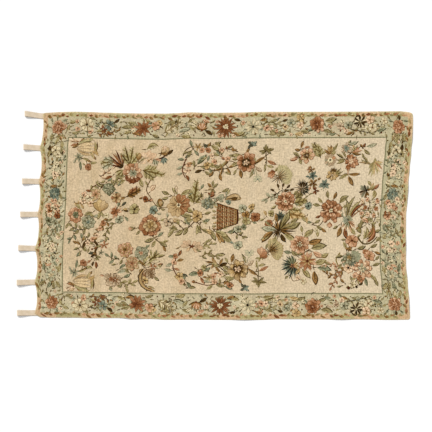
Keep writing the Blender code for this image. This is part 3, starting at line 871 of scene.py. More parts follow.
def scallop(x, y, turn, size, dye, edge, count=9, spread=120, layer=1):
    """A half-open flower: blades that widen to a rounded edge, on a dark foot."""
    for k in range(count):
        lean = 2 * k / (count - 1) - 1
        mark("petal", x, y, turn + lean * spread / 2,
             size * (1 - 0.12 * abs(lean)) * HAND.uniform(0.94, 1.04), 0.3 * size, shade(dye, 1.2),
             shade(edge, 1.7), shade(dye, 0.7), layer=layer)
    fan(x, y, turn, 0.74 * size, spread * 0.92, rust, count, 0.06, 0.4, layer + 1)


# The wicker basket, at the middle of the field: stakes of brown yarn crossed by lighter plaits
for k in range(10):
    share = k / 9
    x, high = -7.6 + 19.4 * share, 13.6 - 6.4 * share ** 0.8
    for m in range(13):
        y = -0.6 + high * (2 * (m + 0.5) / 13 - 1)
        light = (k + m) % 2
        mark("bar", x - 0.2, y, 8 if light else -8, 2.5, 2.4 * high / 14,
             shade(brick if light else rust, 0.75), layer=1)
        mark("streak", x + 0.2, y - 1.0, 90, 2.2 * high / 14, 1.0,
             shade(tan if m % 3 else brick, 1.1 + 0.4 * light), layer=2)
        mark("streak", x + 1.1, y - 0.7, 90, 1.9 * high / 14, 0.6, shade(wine, 0.3), layer=2)
for x, high, dye in ((-0.6, 11, tan), (3.8, 9.6, tan), (10, 7.8, gold)):
    path([(x, -0.8 - high), (x + 0.4, -0.6), (x, -0.4 + high)], 0.6, dye, 1.2, 3)
lay(path, ([(12.8, -7.6), (13.6, -0.8), (12.8, 6.6)], 2.2, wine, 0.2, 3),
    ([(11.6, -7.4), (12.2, -0.8), (11.6, 6.2)], 0.8, gold, 1, 4),
    ([(-7.6, 13), (3.4, 9.4), (12.4, 6.8)], 1, rust, 0.3, 3),
    ([(-7.6, -14), (3.4, -10.6), (12.4, -7.8)], 1, rust, 0.3, 3))
# leaves spill over its mouth
for k in range(8):
    leaf(-7.6 + HAND.uniform(-1, 0.6), -13 + 3.6 * k, 180 + HAND.uniform(-40, 40), 4.4,
         (tan, olive, gold, moss)[k % 4], 2, layer=3)
mark("petal", 0, 16.4, 8, 16.4, 7.6, shade(tan, 0.9), shade(tan, 1.4), shade(rust, 0.3), 0.08, 3)
mark("under", 6, 17.4, 8, 8, 5, shade(rust, 0.9), shade(rust, 0.5), layer=4)
mark("streak", 1, 17, 8, 13, 1, shade(rust, 0.2), layer=5)
lay(leaf, (-9, 18, 12, 9, steel, 4.2, 0, 3), (-17, 24, -14, 8, wine, 3.4, -0.3),
    (-17, 26, 12, 7, tan, 3.4, 0.2))
# and what stands round it
lay(rose, (-17, 13, 5.4, blue, steel), ring, (-17, 13, 7, 0, 2, "petal", 4.4, 3.6, steel, 0.5, 1.6, 0, 5),
    star, (-22, 15, 5, mauve, wine, 7, 2, 1.2), leaf, (-12, 12, -20, 6, steel, None, 0, 3),
    (-16, 18, 70, 6, teal),
    frond, (-31, 11, 84, 27, 8, olive, 9, 1.2), (-30, 12, 116, 14, 6, olive, 6),
    (-30, 12, 52, 14, 6, moss, 6),
    leaf, (-31, 22, 130, 6, olive), (-24, 27, 60, 6, teal), bud, (-12, 27, -84, 6, brick, moss),
    leaf, (-12, 28, 40, 7, moss), (-13, 28, 130, 7, rust), (-12, 30, 85, 6, moss),
    twig, ([(-12, 12), (-5, 17), (4, 20)], moss, steel, 6, 6), leaf, (-3, 24, 30, 8, moss),
    (2, 21, 60, 7, olive), floret, (4, 14, 3, blue, navy), leaf, (8, 19, -10, 9, gold, 5),
    (10, 17, 20, 6, olive),
    floret, (-3, 19, 3, steel, black), (-27, 0, 6, gold, rust, 6), (-26, 1, 3.4, tan, black),
    leaf, (-20, 2, 20, 7, moss), (-22, -4, -40, 6, olive),
    path, ([(-31, 8), (-29, -2), (-33, -9), (-40, -14), (-50, -16)], 1.2, rust, 0.4),
    ([(-30, -3), (-25, -8), (-22, -14)], 1, rust, 0.4),
    ([(-40, -14), (-46, -8), (-52, -6)], 0.9, rust, 0.4))
for x, y, turn, long, dye in (
        (-31, 4, 150, 11, olive), (-32, 0, 175, 12, moss), (-31, -3, 200, 11, olive),
        (-34, -9, 130, 9, teal), (-36, -11, 240, 9, moss), (-41, -13, 215, 10, olive),
        (-46, -14, 160, 9, moss), (-50, -14, 230, 9, olive), (-27, -8, 300, 10, moss),
        (-24, -9, 250, 10, olive), (-23, -13, 330, 9, moss), (-22, -6, 20, 8, teal),
        (-45, -9, 110, 8, olive), (-51, -7, 200, 8, moss), (-44, -4, 170, 9, tan),
        (-38, -6, 70, 8, olive), (-20, -14, -25, 12, gold), (-14, -14, -60, 12, moss),
        (-9, -15, -20, 14, olive), (-8, -16, -50, 14, rust), (-5, -17, -80, 10, gold),
        (-2, -13, 30, 9, olive), (-3, -20, -30, 13, moss), (3, -16, 15, 9, teal)):
    leaf(x, y, turn, long, dye, bend=HAND.uniform(-0.15, 0.15))
lay(floret, (-56, -5, 4.6, mauve, navy), star, (-52, -12, 4, olive, black, 5),
    leaf, (-57, -1, 100, 5, steel), floret, (14, -13, 4.4, steel, navy),
    twig, ([(9, -13), (13, -18), (19, -20)], black, moss, 5, 5), floret, (20, -11, 3, teal, black))
for x, y, turn, long, wide, dye in (
        (-34, -30, 178, 9, 4.4, mauve), (-34, -29, 152, 8, 4, blush), (-33, -29, 118, 6, 3.6, mauve),
        (-31, -30, 60, 6, 3.6, blush), (-30, -30, 28, 8, 4, mauve), (-29, -31, -4, 9, 4.4, mauve),
        (-33, -31, 225, 6, 3.4, tan), (-31, -31, -50, 7, 3.4, tan)):
    mark("petal", x, y, turn, long, wide, shade(dye, 0.9), shade(blush, 1.3), shade(mauve, 0.5), layer=2)
lay(ring, (-32, -30, 5, 0, 0, "streak", 3.4, 1.4, wine, 0.9, 1.4, 0.4, 4),
    leaf, (-19, -26, 28, 8, olive, 2.2), (-21, -30, 8, 7, olive, 2.2), (-44, -31, 200, 4, tan),
    twig, ([(-28, -34), (-20, -30), (-12, -28)], moss, olive, 6, 5),
    ([(-22, -40), (-15, -37), (-8, -40)], olive, moss, 6, 5))
weave("field_basket")

# The sprays at the loops' end, above the middle
for turn, long, dye in ((56, 16, olive), (84, 20, olive), (108, 21, olive), (130, 16, moss)):
    frond(-94, 51, turn, long, 6, dye, 7, 1.4, 2)
for turn, long, dye in ((172, 13, steel), (190, 17, olive), (208, 17, steel)):
    frond(-108, 55, turn, long, 6.6, dye, 6, 1.2, 1)
lay(fan, (-102, 50, 134, 18, 74, mauve, 7, 0.15, 0.9), (-102, 50, 128, 18, 84, wine, 7, 0.12, 0.8, 2),
    (-101, 49, 150, 8, 90, black, 6, 0.16, 0.5, 3), (-101, 46, 226, 12, 50, olive, 5, 0.2, 0.8),
    leaf, (-112, 40, 205, 8, wine, 3), (-106, 38, 232, 8, moss, 3),
    ring, (-92, 43, 9, 60, 3.6, "petal", 6, 5.2, coral, 0.5, 1.6, 0, 2))
for turn, dye in (
        (208, brick), (226, coral), (243, brick), (259, wine), (276, brick), (292, wine), (308, coral),
        (326, brick)):
    # the cup at its foot
    a, b = -91.5 + 2.6 * math.cos(math.radians(turn)), 41.4 + 2.6 * math.sin(math.radians(turn))
    mark("petal", a, b, turn, HAND.uniform(5.4, 6.8), 3.4, shade(dye, 1.2), shade(wine, 0.9),
         shade(wine, 0.4), layer=4)
    mark("streak", a, b, turn + 9, 5.4, 0.7, shade(wine, 0.1), layer=5)
lay(ring, (-91.5, 43, 7, 10, 2.6, "petal", 3.6, 2.8, blush, 0.7, 1.8, 0, 5),
    (-91, 43, 7, 30, 0.4, "leaf", 4.4, 2.2, steel, 0.6, 1.9, 0, 6),
    (-91, 43, 5, 0, 0, "petal", 2.2, 1.8, teal, 0.6, 1.9, 0, 7),
    dot, (-91, 43, 1.2, black, 0.2, 8),
    leaf, (-97, 48, 70, 7, rust), (-88, 48, 100, 7, coral), (-92, 48, 84, 7, brick))
for turn, long, dye in ((6, 14, olive), (-12, 24, olive), (-34, 15, moss)):
    frond(-82, 46.4, turn, long, 7.4, dye, 9, 1.2, 1)
lay(leaf, (-84, 38, -70, 9, olive), (-99, 36, 205, 10, olive), (-100, 40, 180, 9, moss),
    (-103, 36, 240, 7, teal),
    bud, (-86, 56, 82, 8, gold, rust), leaf, (-84, 55, 40, 7, moss),
    ring, (-76, 59, 5, 20, 0, "streak", 9, 6.4, blush, 1.2, 1.9, 0.9, 1),
    (-80, 57, 4, 130, 0, "streak", 6, 4, mauve, 1.3, 1.9, 0.9, 1), leaf, (-77, 67, 16, 12, olive, 4, 0.3),
    (-70, 57, -5, 8, coral, 3), bud, (-63, 63, 34, 10, tan, rust), (-62, 64, 60, 8, blush, tan, 3),
    path, ([(-68, 57), (-62, 59), (-54, 65)], 1.7, wine, 0.1, 1), leaf, (-56, 62, 46, 7, black),
    fan, (-69, 58, -80, 8, 70, steel, 7, 0.24, 0.7), (-61, 59, -70, 8, 80, blue, 7, 0.26, 0.8),
    leaf, (-72, 58, -150, 6, rust), twig, ([(-124, 39), (-118, 43), (-113, 47)], wine, blush, 4, 5),
    ([(-114, 30), (-110, 35), (-104, 38)], moss, olive, 5, 5), rose, (-116, 27, 6, teal, steel),
    ring, (-116, 27, 8, 10, 1, "leaf", 4.6, 2, steel, 0.8, 1.9, 0, 5),
    leaf, (-120, 32, 165, 9, moss, 3, 0.3), (-117, 34, 40, 6, teal, 2.6), (-110, 24, -20, 5, teal),
    frond, (-99, 19, 28, 18, 6.5, rust, 8), (-97, 21, 40, 14, 5, brick, 6),
    leaf, (-99, 19, 200, 7, rust, 2.4),
    path, ([(-73, 38), (-78, 27), (-74, 19), (-67, 10), (-56, 9)], 1, rust, 0.7),
    leaf, (-74, 25, 55, 8, blush, 5), (-77, 31, 120, 5, olive),
    floret, (-79, 17, 3.4, wine, black, 5, 2, 1.2), leaf, (-82, 19, 200, 4, rust),
    bud, (-76, 16, 10, 4.4, coral, wine), leaf, (-81, 19, 150, 4, blush, None, 0, 3),
    bud, (-64, 9, 98, 9.4, rust, moss), (-64, 10, 94, 6, tan, rust, 3), leaf, (-64, 8, -10, 5, moss),
    rose, (-108, 18, 5.4, brick, rust), ring, (-108, 18, 5, 0, 1, "petal", 4, 3.4, tan, 0.6, 1.6, 0, 5),
    rose, (-129, 21, 5.4, tan, rust),
    ring, (-129, 21, 5, 0, 0.6, "leaf", 4.4, 2.4, coral, 0.5, 1.6, 0, 5),
    leaf, (-133, 24, 170, 6, wine), (-124, 27, 60, 6, black), (-112, 22, 140, 4, rust))
poppy(-46, 11, 12, tan, brick)
lay(leaf, (-50, 22, 80, 9, mauve, 4.4), (-47, 22, 130, 9, olive), (-44, 21, 30, 11, olive),
    (-55, 22, 155, 9, moss), (-56, 20, 195, 7, olive), (-36, 20, 40, 6, teal),
    floret, (-71, 6, 4.6, blue, teal), leaf, (-68, 3, -10, 5, steel),
    floret, (-90, 7, 5.6, olive, black, 5, 2, 1.2),
    path, ([(-92, 22), (-91, 15), (-90, 10)], 0.7, blush, 0.9), leaf, (-97, 7, 190, 5, gold, 2),
    path, ([(-38, 57), (-42, 46), (-39, 38)], 1.3, wine, 0.7, 1),
    ([(-41, 60), (-38, 66), (-30, 70)], 1, rust, 0.4, 1),
    leaf, (-40, 56, 170, 7, teal), (-38, 52, 10, 7, rust), (-41, 50, 200, 7, steel),
    (-39, 47, -20, 6, brick), (-42, 43, 190, 6, steel), (-39, 41, -60, 7, wine), (-36, 64, 200, 6, moss),
    (-32, 69, 110, 7, teal), (-32, 66, 230, 8, moss), (-34, 61, 210, 6, navy), (-30, 66, -50, 7, teal),
    (-37, 58, 60, 6, moss), (-17, 69, 60, 6, rust), (-13, 71, -30, 10, olive), (-10, 72, 20, 7, moss),
    (-8, 66, -60, 6, teal), (-27, 52, 50, 13, teal), (-30, 49, 100, 7, moss), (-25, 57, 20, 8, olive),
    (-24, 50, 0, 8, moss), (-22, 46, 200, 8, black), (-20, 45, -30, 7, moss), (-15, 48, -60, 7, teal),
    (-12, 50, -20, 8, moss), (-17, 55, 80, 6, teal), (-11, 45, 230, 7, rust), (-8, 47, 40, 8, moss),
    (-5, 43, -70, 8, rust), (-2, 49, 60, 7, olive), (0, 44, -20, 7, moss), (4, 48, 30, 7, rust),
    star, (-26, 69, 5, gold, wine, 6), floret, (-22, 66, 3, coral, rust),
    bud, (-20, 72, -40, 4.6, navy, navy), floret, (-16, 66, 3, brick, black),
    path, ([(-27, 68), (-16, 71), (-7, 67), (-2, 60)], 1, rust, 0.5),
    ([(-24, 50), (-14, 46), (-4, 48), (4, 55), (14, 52)], 1.1, rust, 0.4),
    floret, (-37, 45, 3.2, blush, wine), (-36, 51, 3, coral, wine), (-17, 51, 4, gold, rust),
    (-10, 54, 3.2, coral, wine),
    bud, (-3, 62, 80, 4, blush, olive), floret, (-12, 60, 3, blush, wine), (3, 57, 3, coral, rust))
# the horns in the two corners by the loops, with their brown tulips
for up in (1, -1):
    laying.update(x=0.0 if up > 0 else -3.4, y=0.0, up=up)
    # the horn: long leaves that spread from its tip to its mouth
    for a, b, turn, long, wide, dye, tone, bend in (
            (-147, 66.4, -16, 19, 3, tan, 1, -0.14), (-147, 69.4, 18, 19, 3.2, olive, 1.5, 0.12),
            (-147, 67, -6, 20, 3.8, tan, 1.6, -0.05), (-147, 68.6, 8, 20, 3.8, tan, 1.8, 0.05),
            (-146, 67.8, 1, 19, 3, tan, 2, 0), (-134, 63.6, -58, 8.6, 2.4, olive, 1.1, 0.1),
            (-132, 64.4, -34, 9, 2.6, gold, 1, 0.1), (-130.6, 66, -78, 9.6, 2.6, tan, 1.1, -0.1),
            (-129, 69.6, -60, 9, 2.4, gold, 0.9, -0.1), (-129, 74.6, -84, 13, 2.8, olive, 1.2, 0.1),
            (-127, 75.6, -92, 14, 1.4, rust, 0.4, 0.12), (-141, 72.8, 56, 4.4, 2.6, olive, 1.2, 0),
            (-137.6, 73.8, 52, 4.4, 2.6, tan, 1.2, 0), (-134, 74.6, 46, 4.6, 2.6, olive, 1.2, 0),
            (-146, 66, -12, 14, 0.8, rust, 0.7, -0.16)):
        mark("leaf", a, b, turn, long, wide, shade(dye, tone), shade(dye, tone + 0.4), shade(rust, 0.9),
             bend, 2)
    lay(leaf, (-143.6, 71.8, 212, 8.6, rust, 3), (-144, 73.6, 176, 9, blush, 3),
        (-146, 71, 196, 7, brick, 2.4), (-143, 72, 60, 6, rust, 2.4), (-139, 73, 12, 7, moss, 2),
        (-150, 76, -20, 5, tan, 2),
        dot, (-146, 71.6, 1.6, wine), leaf, (-131, 60, -50, 5, rust, 2),
        star, (-145.4, 58, 5.4, steel, blue, 7, 2, 1),
        leaf, (-144, 54, -82, 9, teal, 2.6), (-141, 57, -24, 8, olive, 2.4),
        (-134, 52, 12, 7, olive, 2.4),
        path, ([(-146, 58), (-138, 55.6), (-131, 53)], 1.2, rust, 0.2),
        leaf, (-138, 55.6, -30, 6, rust, 2), path, ([(-138, 55), (-136, 49)], 0.7, moss, 0.4),
        leaf, (-148, 55, 230, 4, steel), rose, (-136, 48, 3.7, brick, wine),
        leaf, (-133, 51, 60, 3.6, olive), (-139, 50, 140, 3.6, olive))
laying.update(x=0.0, up=1)
weave("field_loop_end_high")

# The sprays at the loops' end, below the middle
lay(rose, (-149, 0, 7.4, coral, steel),
    ring, (-149, 0, 6, 0, 0, "petal", 3.6, 2.6, teal, 0.8, 1.7, 0.2, 6), leaf, (-156, -8, 250, 6, moss),
    tulip, (-124, 3, 98, 12, gold), (-123, 4, 80, 10, tan, 3), leaf, (-132, 3, 200, 9, moss, 4),
    (-130, -1, 150, 7, olive), rose, (-136, -7, 7, steel, blue),
    leaf, (-143, -4, 160, 6, teal), (-131, -2, 30, 6, steel), (-144, 6, 130, 7, olive),
    posy, (-139, 18, 4, (blush, cream, coral), 6, 6),
    twig, ([(-150, 12), (-142, 11), (-134, 14)], tan, gold, 6, 5),
    ([(-136, 24), (-131, 29), (-124, 33)], wine, olive, 5, 5), floret, (-134, 12, 3.6, blush, wine),
    star, (-109, 4, 7.4, coral, wine, 7, 2, 1, 40),
    ring, (-109, 4, 4, 30, 0, "petal", 4.6, 3, brick, 0.8, 1.6, 0.2, 4),
    leaf, (-103, 10, 45, 6, navy), (-107, 9, 80, 6, teal), (-101, 5, 0, 5, black),
    floret, (-105, -4, 4.6, steel, teal), leaf, (-100, -1, -50, 6, teal), (-112, -3, 210, 6, moss),
    floret, (-118, 0, 3.2, cream, olive),
    twig, ([(-116, -4), (-121, -11), (-127, -17)], moss, rust, 6, 5),
    ([(-110, -8), (-117, -15), (-118, -22)], moss, moss, 6, 4.6),
    floret, (-121, -8, 3, brick, wine), (-124, -13, 3, coral, wine), (-127, -20, 3, blush, wine),
    (-131, -24, 3, coral, wine),
    twig, ([(-136, -13), (-145, -15), (-152, -12)], navy, moss, 6, 6),
    ([(-146, -15), (-150, -20), (-153, -25)], moss, teal, 3, 5),
    path, ([(-140, -33), (-138, -27), (-131, -25.4), (-126, -30), (-128, -37), (-126, -43)], 3, rust, 0.3, 1),
    leaf, (-144, -33, 200, 6, moss), (-145, -28, 160, 6, rust), (-142, -24, 100, 6, teal),
    (-136, -23, 80, 6, moss), (-130, -26, 50, 6, rust), (-128, -31, 0, 6, moss),
    (-129, -37, 190, 6, navy), (-128, -41, -10, 6, moss), (-127, -46, -90, 7, wine),
    (-139, -31, -60, 5, olive), (-134, -33, 250, 5, moss), (-143, -37, 230, 6, teal),
    (-132, -45, 220, 5, brick), (-124, -27, 30, 5, steel))
for x, y, turn, dye in (
        (-141, -26, 70, rust), (-138, -25, 120, moss), (-133, -26, 20, rust), (-130, -29, 150, moss),
        (-130, -33, 20, wine), (-131, -37, -30, rust), (-128, -39, 210, black), (-129, -43, -20, moss),
        (-143, -30, 130, rust), (-141, -33, 320, moss), (-144, -36, 270, olive), (-129, -46, 250, black)):
    leaf(x, y, turn, 5.4, dye)
lay(dot, (-137, -22, 1.8, black), (-131, -34, 2, wine), star, (-119, -30, 5.4, brick, coral, 5, 2, 1.1),
    (-122, -37, 3.4, teal, black, 5), floret, (-136, -28, 2.8, blush, wine),
    rose, (-74, -9, 10.4, brick, gold, 2, 10),
    ring, (-74, -9, 9, 0, 1.6, "petal", 5.6, 4.6, tan, 0.3, 1.5, 0, 5),
    (-74, -8, 6, 20, 0, "petal", 3.4, 2.8, gold, 0.4, 1.5, 0, 7), leaf, (-64, -4, 20, 6, olive),
    ring, (-74, -9, 10, 20, 6, "petal", 4.6, 5, coral, 0.8, 1.6, 0, 1),
    bud, (-90, -12, 190, 6, coral, moss), path, ([(-84, -11), (-90, -13)], 0.8, moss, 0.6),
    leaf, (-84, -14, 230, 6, moss), path, ([(-72, -19), (-67, -24), (-60, -29)], 0.9, moss, 0.5),
    leaf, (-70, -22, 200, 10, moss), (-68, -24, 245, 8, olive), (-65, -25, -30, 10, moss),
    (-61, -29, -60, 7, rust), (-66, -20, 40, 7, teal), (-61, -26, 20, 6, olive),
    rose, (-98, -34, 7.4, coral, rust, 2, 15), (-82, -37, 6.8, steel, coral, 2, 30),
    (-91.4, -47.4, 7, tan, brick, 2, 5))
# three rolled roses, their petals lying round the heart
for k in range(13):
    share, turn = k / 12, 137 * k
    for a, b, size, dye in ((-98, -34, 6.4, gold), (-82, -37, 5.8, steel), (-91.4, -47.4, 6, coral)):
        out, way = size * (1 - 0.74 * share), math.radians(turn + a)
        mark("petal", a + out * math.cos(way + 0.5), b + out * math.sin(way + 0.5),
             math.degrees(way) - 78, 4.6 - 2.4 * share, 2.2 - share, shade(dye, 0.5), shade(dye, 1.5),
             shade(steel if dye == steel else rust, 0.2), 0.16, 5 + k // 4)
lay(twig, ([(-104, -43), (-109, -44), (-114, -41)], moss, teal, 3, 6),
    leaf, (-78, -33, 50, 6, teal), (-80, -43, -60, 6, moss), (-101, -44, 240, 6, moss),
    (-107, -49, 190, 5, olive), (-88, -46, -20, 6, moss),
    frond, (-82, -50, 36, 24, 7, olive, 7, 1),
    leaf, (-72, -40, 100, 7, olive, 2.2), (-70, -41, 66, 8, moss, 2.4), (-66, -41, 20, 8, olive, 2.4),
    (-70, -44, -8, 7, moss, 2.2))
for x, y, turn, long, wide in (
        (-78, -50, 62, 10, 3.6), (-80, -47, 118, 10, 3.4), (-72, -46, 10, 9, 4), (-70, -48, -30, 8, 3.4)):
    mark("leaf", x, y, turn, long, wide, shade(mauve, 1.3), shade(cream, 1.5), shade(wine, 0.7), layer=2)
lay(leaf, (-84, -44, -48, 9, rust, 2.4), (-84, -44, 100, 6, moss, 2.4),
    path, ([(-84, -44), (-78, -52), (-68, -47)], 0.9, rust, 0.3), leaf, (-66, -49, 20, 6, wine, 2),
    fan, (-75, -53, 268, 9, 110, mauve, 9, 0.2, 0.3, 3), scallop, (-76, -59, 80, 8, mauve, blush, 6, 90),
    (-77, -54, 250, 8, mauve, wine, 5, 70),
    dot, (-74, -56, 1.8, wine), (-78, -60, 1.6, wine), (-72, -53, 1.6, wine),
    leaf, (-70, -60, -40, 7, moss), (-68, -52, 30, 8, olive), rose, (-112, -64, 7, mauve, brick),
    bud, (-113, -71, -80, 5, steel, moss),
    leaf, (-119, -61, 170, 5, coral), (-107, -69, -30, 6, moss), (-106, -58, 20, 11, steel, 3.4),
    (-104, -54, 40, 9, teal, 3),
    twig, ([(-104, -66), (-97, -69), (-91, -67)], moss, olive, 5, 6),
    leaf, (-100, -62, 30, 8, teal, 3), (-98, -72, -70, 6, olive), (-94, -57, 150, 8, moss))
# the long horn, a rolled leaf that narrows to its tip
horn = [(-79, -52.6), (-82.4, -57), (-83.6, -62), (-82.8, -66.6), (-80, -70.6), (-76, -73.2), (-71, -75)]
for k, ((a, b), (c, d)) in enumerate(zip(horn, horn[1:])):
    mark("leaf", a, b, math.degrees(math.atan2(d - b, c - a)), 1.5 * math.dist((a, b), (c, d)),
         6 - 0.6 * k, shade(tan, 0.8), shade(gold, 1.3), shade(rust, 0.3), layer=1 + k % 2)
path([(a - 1.2, b - 0.6) for a, b in horn], 1.1, rust, 0.1, 4)
path([(a + 1.8, b + 0.6) for a, b in horn[1:]], 0.8, rust, 0.3, 4)
lay(floret, (-78.4, -64.6, 4, gold, black), leaf, (-80, -58, -60, 5, rust, 2),
    (-76, -70, -20, 7, olive, 2),
    ring, (-72.6, -57.4, 9, 0, 0.6, "petal", 4.6, 2.8, mauve, 0.2, 1, 0, 3),
    (-70.4, -50.8, 6, 0, 0.4, "leaf", 4, 1.8, brick, 0.8, 1.7, 0.1, 3),
    (-108, -64.6, 9, 10, 1, "petal", 5.4, 3.4, mauve, 0.7, 1.6, 0, 3),
    (-108, -64.6, 6, 0, 0.4, "leaf", 3, 1.5, wine, 0.9, 1.7, 0.2, 5),
    leaf, (-76, -74, 30, 6, brick), dot, (-80, -66, 2, wine))
# the hanging spray again, mirrored
laying.update(x=-8.5, up=-1)
lay(path, ([(-38, 40), (-42, 50), (-37, 62)], 1.3, wine, 0.7, 1),
    ([(-37, 60), (-33, 66), (-27, 70)], 1, rust, 0.4, 1),
    leaf, (-40, 41, 190, 7, teal), (-38, 45, -10, 7, rust), (-42, 47, 160, 8, steel),
    (-41, 52, 20, 6, brick), (-43, 54, 190, 8, steel), (-37, 40, -60, 7, wine),
    (-36, 62, 200, 6, moss), (-32, 66, -70, 7, teal), (-30, 70, 230, 8, moss), (-34, 58, 20, 7, navy),
    (-29, 66, 60, 8, teal), (-27, 72, 0, 7, moss), (-16, 57, 170, 11, teal), (-18, 53, 40, 8, moss),
    (-15, 61, 60, 8, brick), (-12, 55, -30, 8, teal), (-8, 50, 130, 8, moss), (-4, 47, 20, 9, olive),
    (-2, 42, 60, 8, gold), (2, 40, -10, 8, olive), (4, 50, -20, 9, black), (8, 54, 40, 7, moss),
    (-6, 66, 190, 7, steel), (0, 68, 30, 7, moss), (9, 70, 20, 8, teal), (13, 64, -30, 7, moss),
    (10, 60, 60, 7, olive), (4, 62, 100, 6, moss),
    floret, (-36, 60, 4, gold, wine), (-41, 46, 3.2, coral, wine), (-40, 40, 3, brick, wine),
    (-34, 65, 3.4, coral, rust), (-15, 57, 3.4, brick, wine, 5, 4),
    path, ([(-20, 66), (-8, 69), (2, 66)], 1, wine, 0.8, 1), bud, (-20, 66, 190, 4, brick, rust),
    path, ([(-14, 54), (-4, 48), (6, 52), (12, 58)], 1.1, black, 0.6, 1),
    floret, (5, 58, 3.4, blush, wine), (14, 69, 3.6, brick, black), (-2, 60, 3, coral, wine),
    star, (-6, 61, 4, gold, rust, 5))
laying.update(x=0.0, up=1)
weave("field_loop_end_low")

# The sprays beyond the basket, above the middle
HAND.seed(31)
# one spray with its mirror image below the middle
for up in (1, -1):
    laying.update(up=up, x=0.0 if up > 0 else -7.6)
    ring(21.6, 53.5, 9, 15, 3.6, "petal", 6.6, 5.6, coral if up > 0 else tan, 0.4, 1.5, 0.0, 2, 0.2)
    ring(21.6, 53.5, 7, 0, 3.0, "petal", 5.4, 4.6, brick if up > 0 else gold, 0.7, 1.6, 0.0, 3, 0.24)
    lay(ring, (21.6, 53.3, 8, 30, 1.5, "petal", 3.7, 2.8, rust, 0, 0.6, 0, 5, 0.2),
        (21.6, 53, 5, 0, 0.4, "petal", 2.9, 2, blush, 0.7, 1.8, 0.2, 6),
        dot, (21.4, 53.4, 0.9, wine, 0.4, 8))
    for x, y, turn, long, wide, leaf_dye in (
            (15.5, 46.5, -78, 9, 4, rust), (17, 61, 178, 9.5, 4, olive), (9, 59, 160, 5.5, 2, moss),
            (13, 57, 178, 5.5, 2.4, olive), (13, 54, 215, 8, 4.4, olive),
            (4.6, 56.6, 228, 8.4, 2.4, rust), (-2, 47, 117, 6.4, 2.2, rust),
            (-2, 46.5, 186, 9, 1.6, rust), (-2, 46.5, 255, 6, 2, rust), (3, 48.5, -60, 7, 2.4, rust),
            (12, 46.5, 240, 6, 2.4, olive), (2.4, 67.6, 25, 6.6, 2.4, moss), (3, 66, 100, 4, 1.6, wine),
            (9, 64.6, 110, 4.4, 3, rust), (9, 65, 20, 4, 2, rust), (-4, 68.6, 140, 8, 3, olive),
            (-5, 60.4, 150, 7, 2.6, olive), (1, 57, 150, 5, 2.6, brick), (-9, 62, 190, 5, 2, rust),
            (40.8, 59, 213, 12, 2.6, rust), (31, 53, 104, 6, 1.8, moss),
            (29.6, 47.6, 246, 10.6, 2.4, moss), (30.4, 49.6, -36, 8.6, 4, mauve),
            (42.4, 55, -24, 10.6, 3.2, brick), (42, 50, -14, 7.4, 2.8, olive),
            (40.6, 52, -94, 8, 2, olive), (28, 46, -70, 5, 2, steel), (22, 62, 60, 6, 2.6, rust)):
        leaf(x, y, turn, long, leaf_dye, wide)
    lay(path, ([(14, 51), (6, 49), (-2, 46.5)], 1, rust, 0.2),
        ([(28, 51), (35, 54), (41, 60), (41.3, 65)], 1.1, rust, 0.4),
        ([(41.3, 62), (42, 54), (40.6, 45)], 1, moss, 0.4), ([(14, 64), (8, 66), (2, 67)], 1, rust, 0.3),
        floret, (-2.2, 65.8, 3.2, coral, brick, 4, 2, 1.2), (-12, 51, 3, olive, rust),
        dot, (-8, 55, 1.6, rust))
    # the blue-green star
    for turn, long in ((35, 5.6), (-15, 5), (150, 5), (230, 5.2), (95, 3), (280, 3)):
        leaf(27.4, 71.4, turn, long, blue if turn < 100 else navy, 2.6, layer=2)
    # the green whorl
    for turn, long in ((88, 6), (10, 8.4), (186, 7), (-36, 7), (222, 6.4), (60, 4), (130, 4)):
        leaf(41.3, 65.5, turn, long, moss, 2.4, layer=2, base=0.7, tip=1.6)
    # a pale outlined flower on a pale stem
    for turn in (30, 90, 150, 200, 340):
        mark("leaf", 33.2, 36.4, turn, 5.2, 3.4, shade(steel, 1.4), shade(cream, 1.5), shade(blue, 0.8),
             layer=2)
    lay(path, ([(30.6, 47), (32, 42), (33, 37)], 0.7, steel, 0.9), dot, (33.2, 36.6, 1.5, blue, 0.5))
laying.update(up=1, x=0.0)
# a red bud
for turn, long, dye in (
        (215, 9, coral), (196, 8, brick), (238, 8, coral), (178, 5, wine), (222, 6, wine)):
    mark("petal", 50.6, 43.6, turn, long, 3.6, shade(dye, 0.7), shade(dye, 1.5), shade(brick, 0.4),
         layer=2)
lay(leaf, (51, 40, 176, 5, moss, 2), (50, 44, 60, 5, olive, 2),
    scallop, (54, 38, 28, 15, cream, olive, 13, 120), fan, (54, 38, 20, 12, 110, rust, 9, 0.05, 0.3, 3),
    (54, 38, 250, 9, 150, rust, 8, 0.09, 0.4, 2), path, ([(50, 41), (55, 39)], 0.9, olive, 0.4),
    tulip, (36, -42, 40, 8, brick), (37, -40, 84, 8, coral), leaf, (42, -33, 60, 6, moss),
    (44, -38, 150, 6, olive), scallop, (46, -36, 24, 15, tan, olive, 13, 130),
    fan, (47, -35, 40, 12, 100, rust, 9, 0.07, 0.2, 3), (46, -36, 150, 7, 120, rust, 6, 0.1, 0.4, 2),
    floret, (14, -29, 4.8, steel, blue, 6, 2, 1.3), leaf, (10, -27, 150, 5, blue),
    ring, (82, 60, 7, 12, 2, "petal", 5.6, 4.8, coral, 0.9, 1.7, 0, 2, 0.2),
    (82, 60, 6, 30, 1.6, "petal", 4, 3.4, tan, 0.6, 1.5, 0, 3),
    (82, 59.8, 7, 0, 0.6, "leaf", 3, 1.8, rust, 0, 0.9, 0, 5),
    dot, (82, 59.6, 1.2, gold, 1, 7))
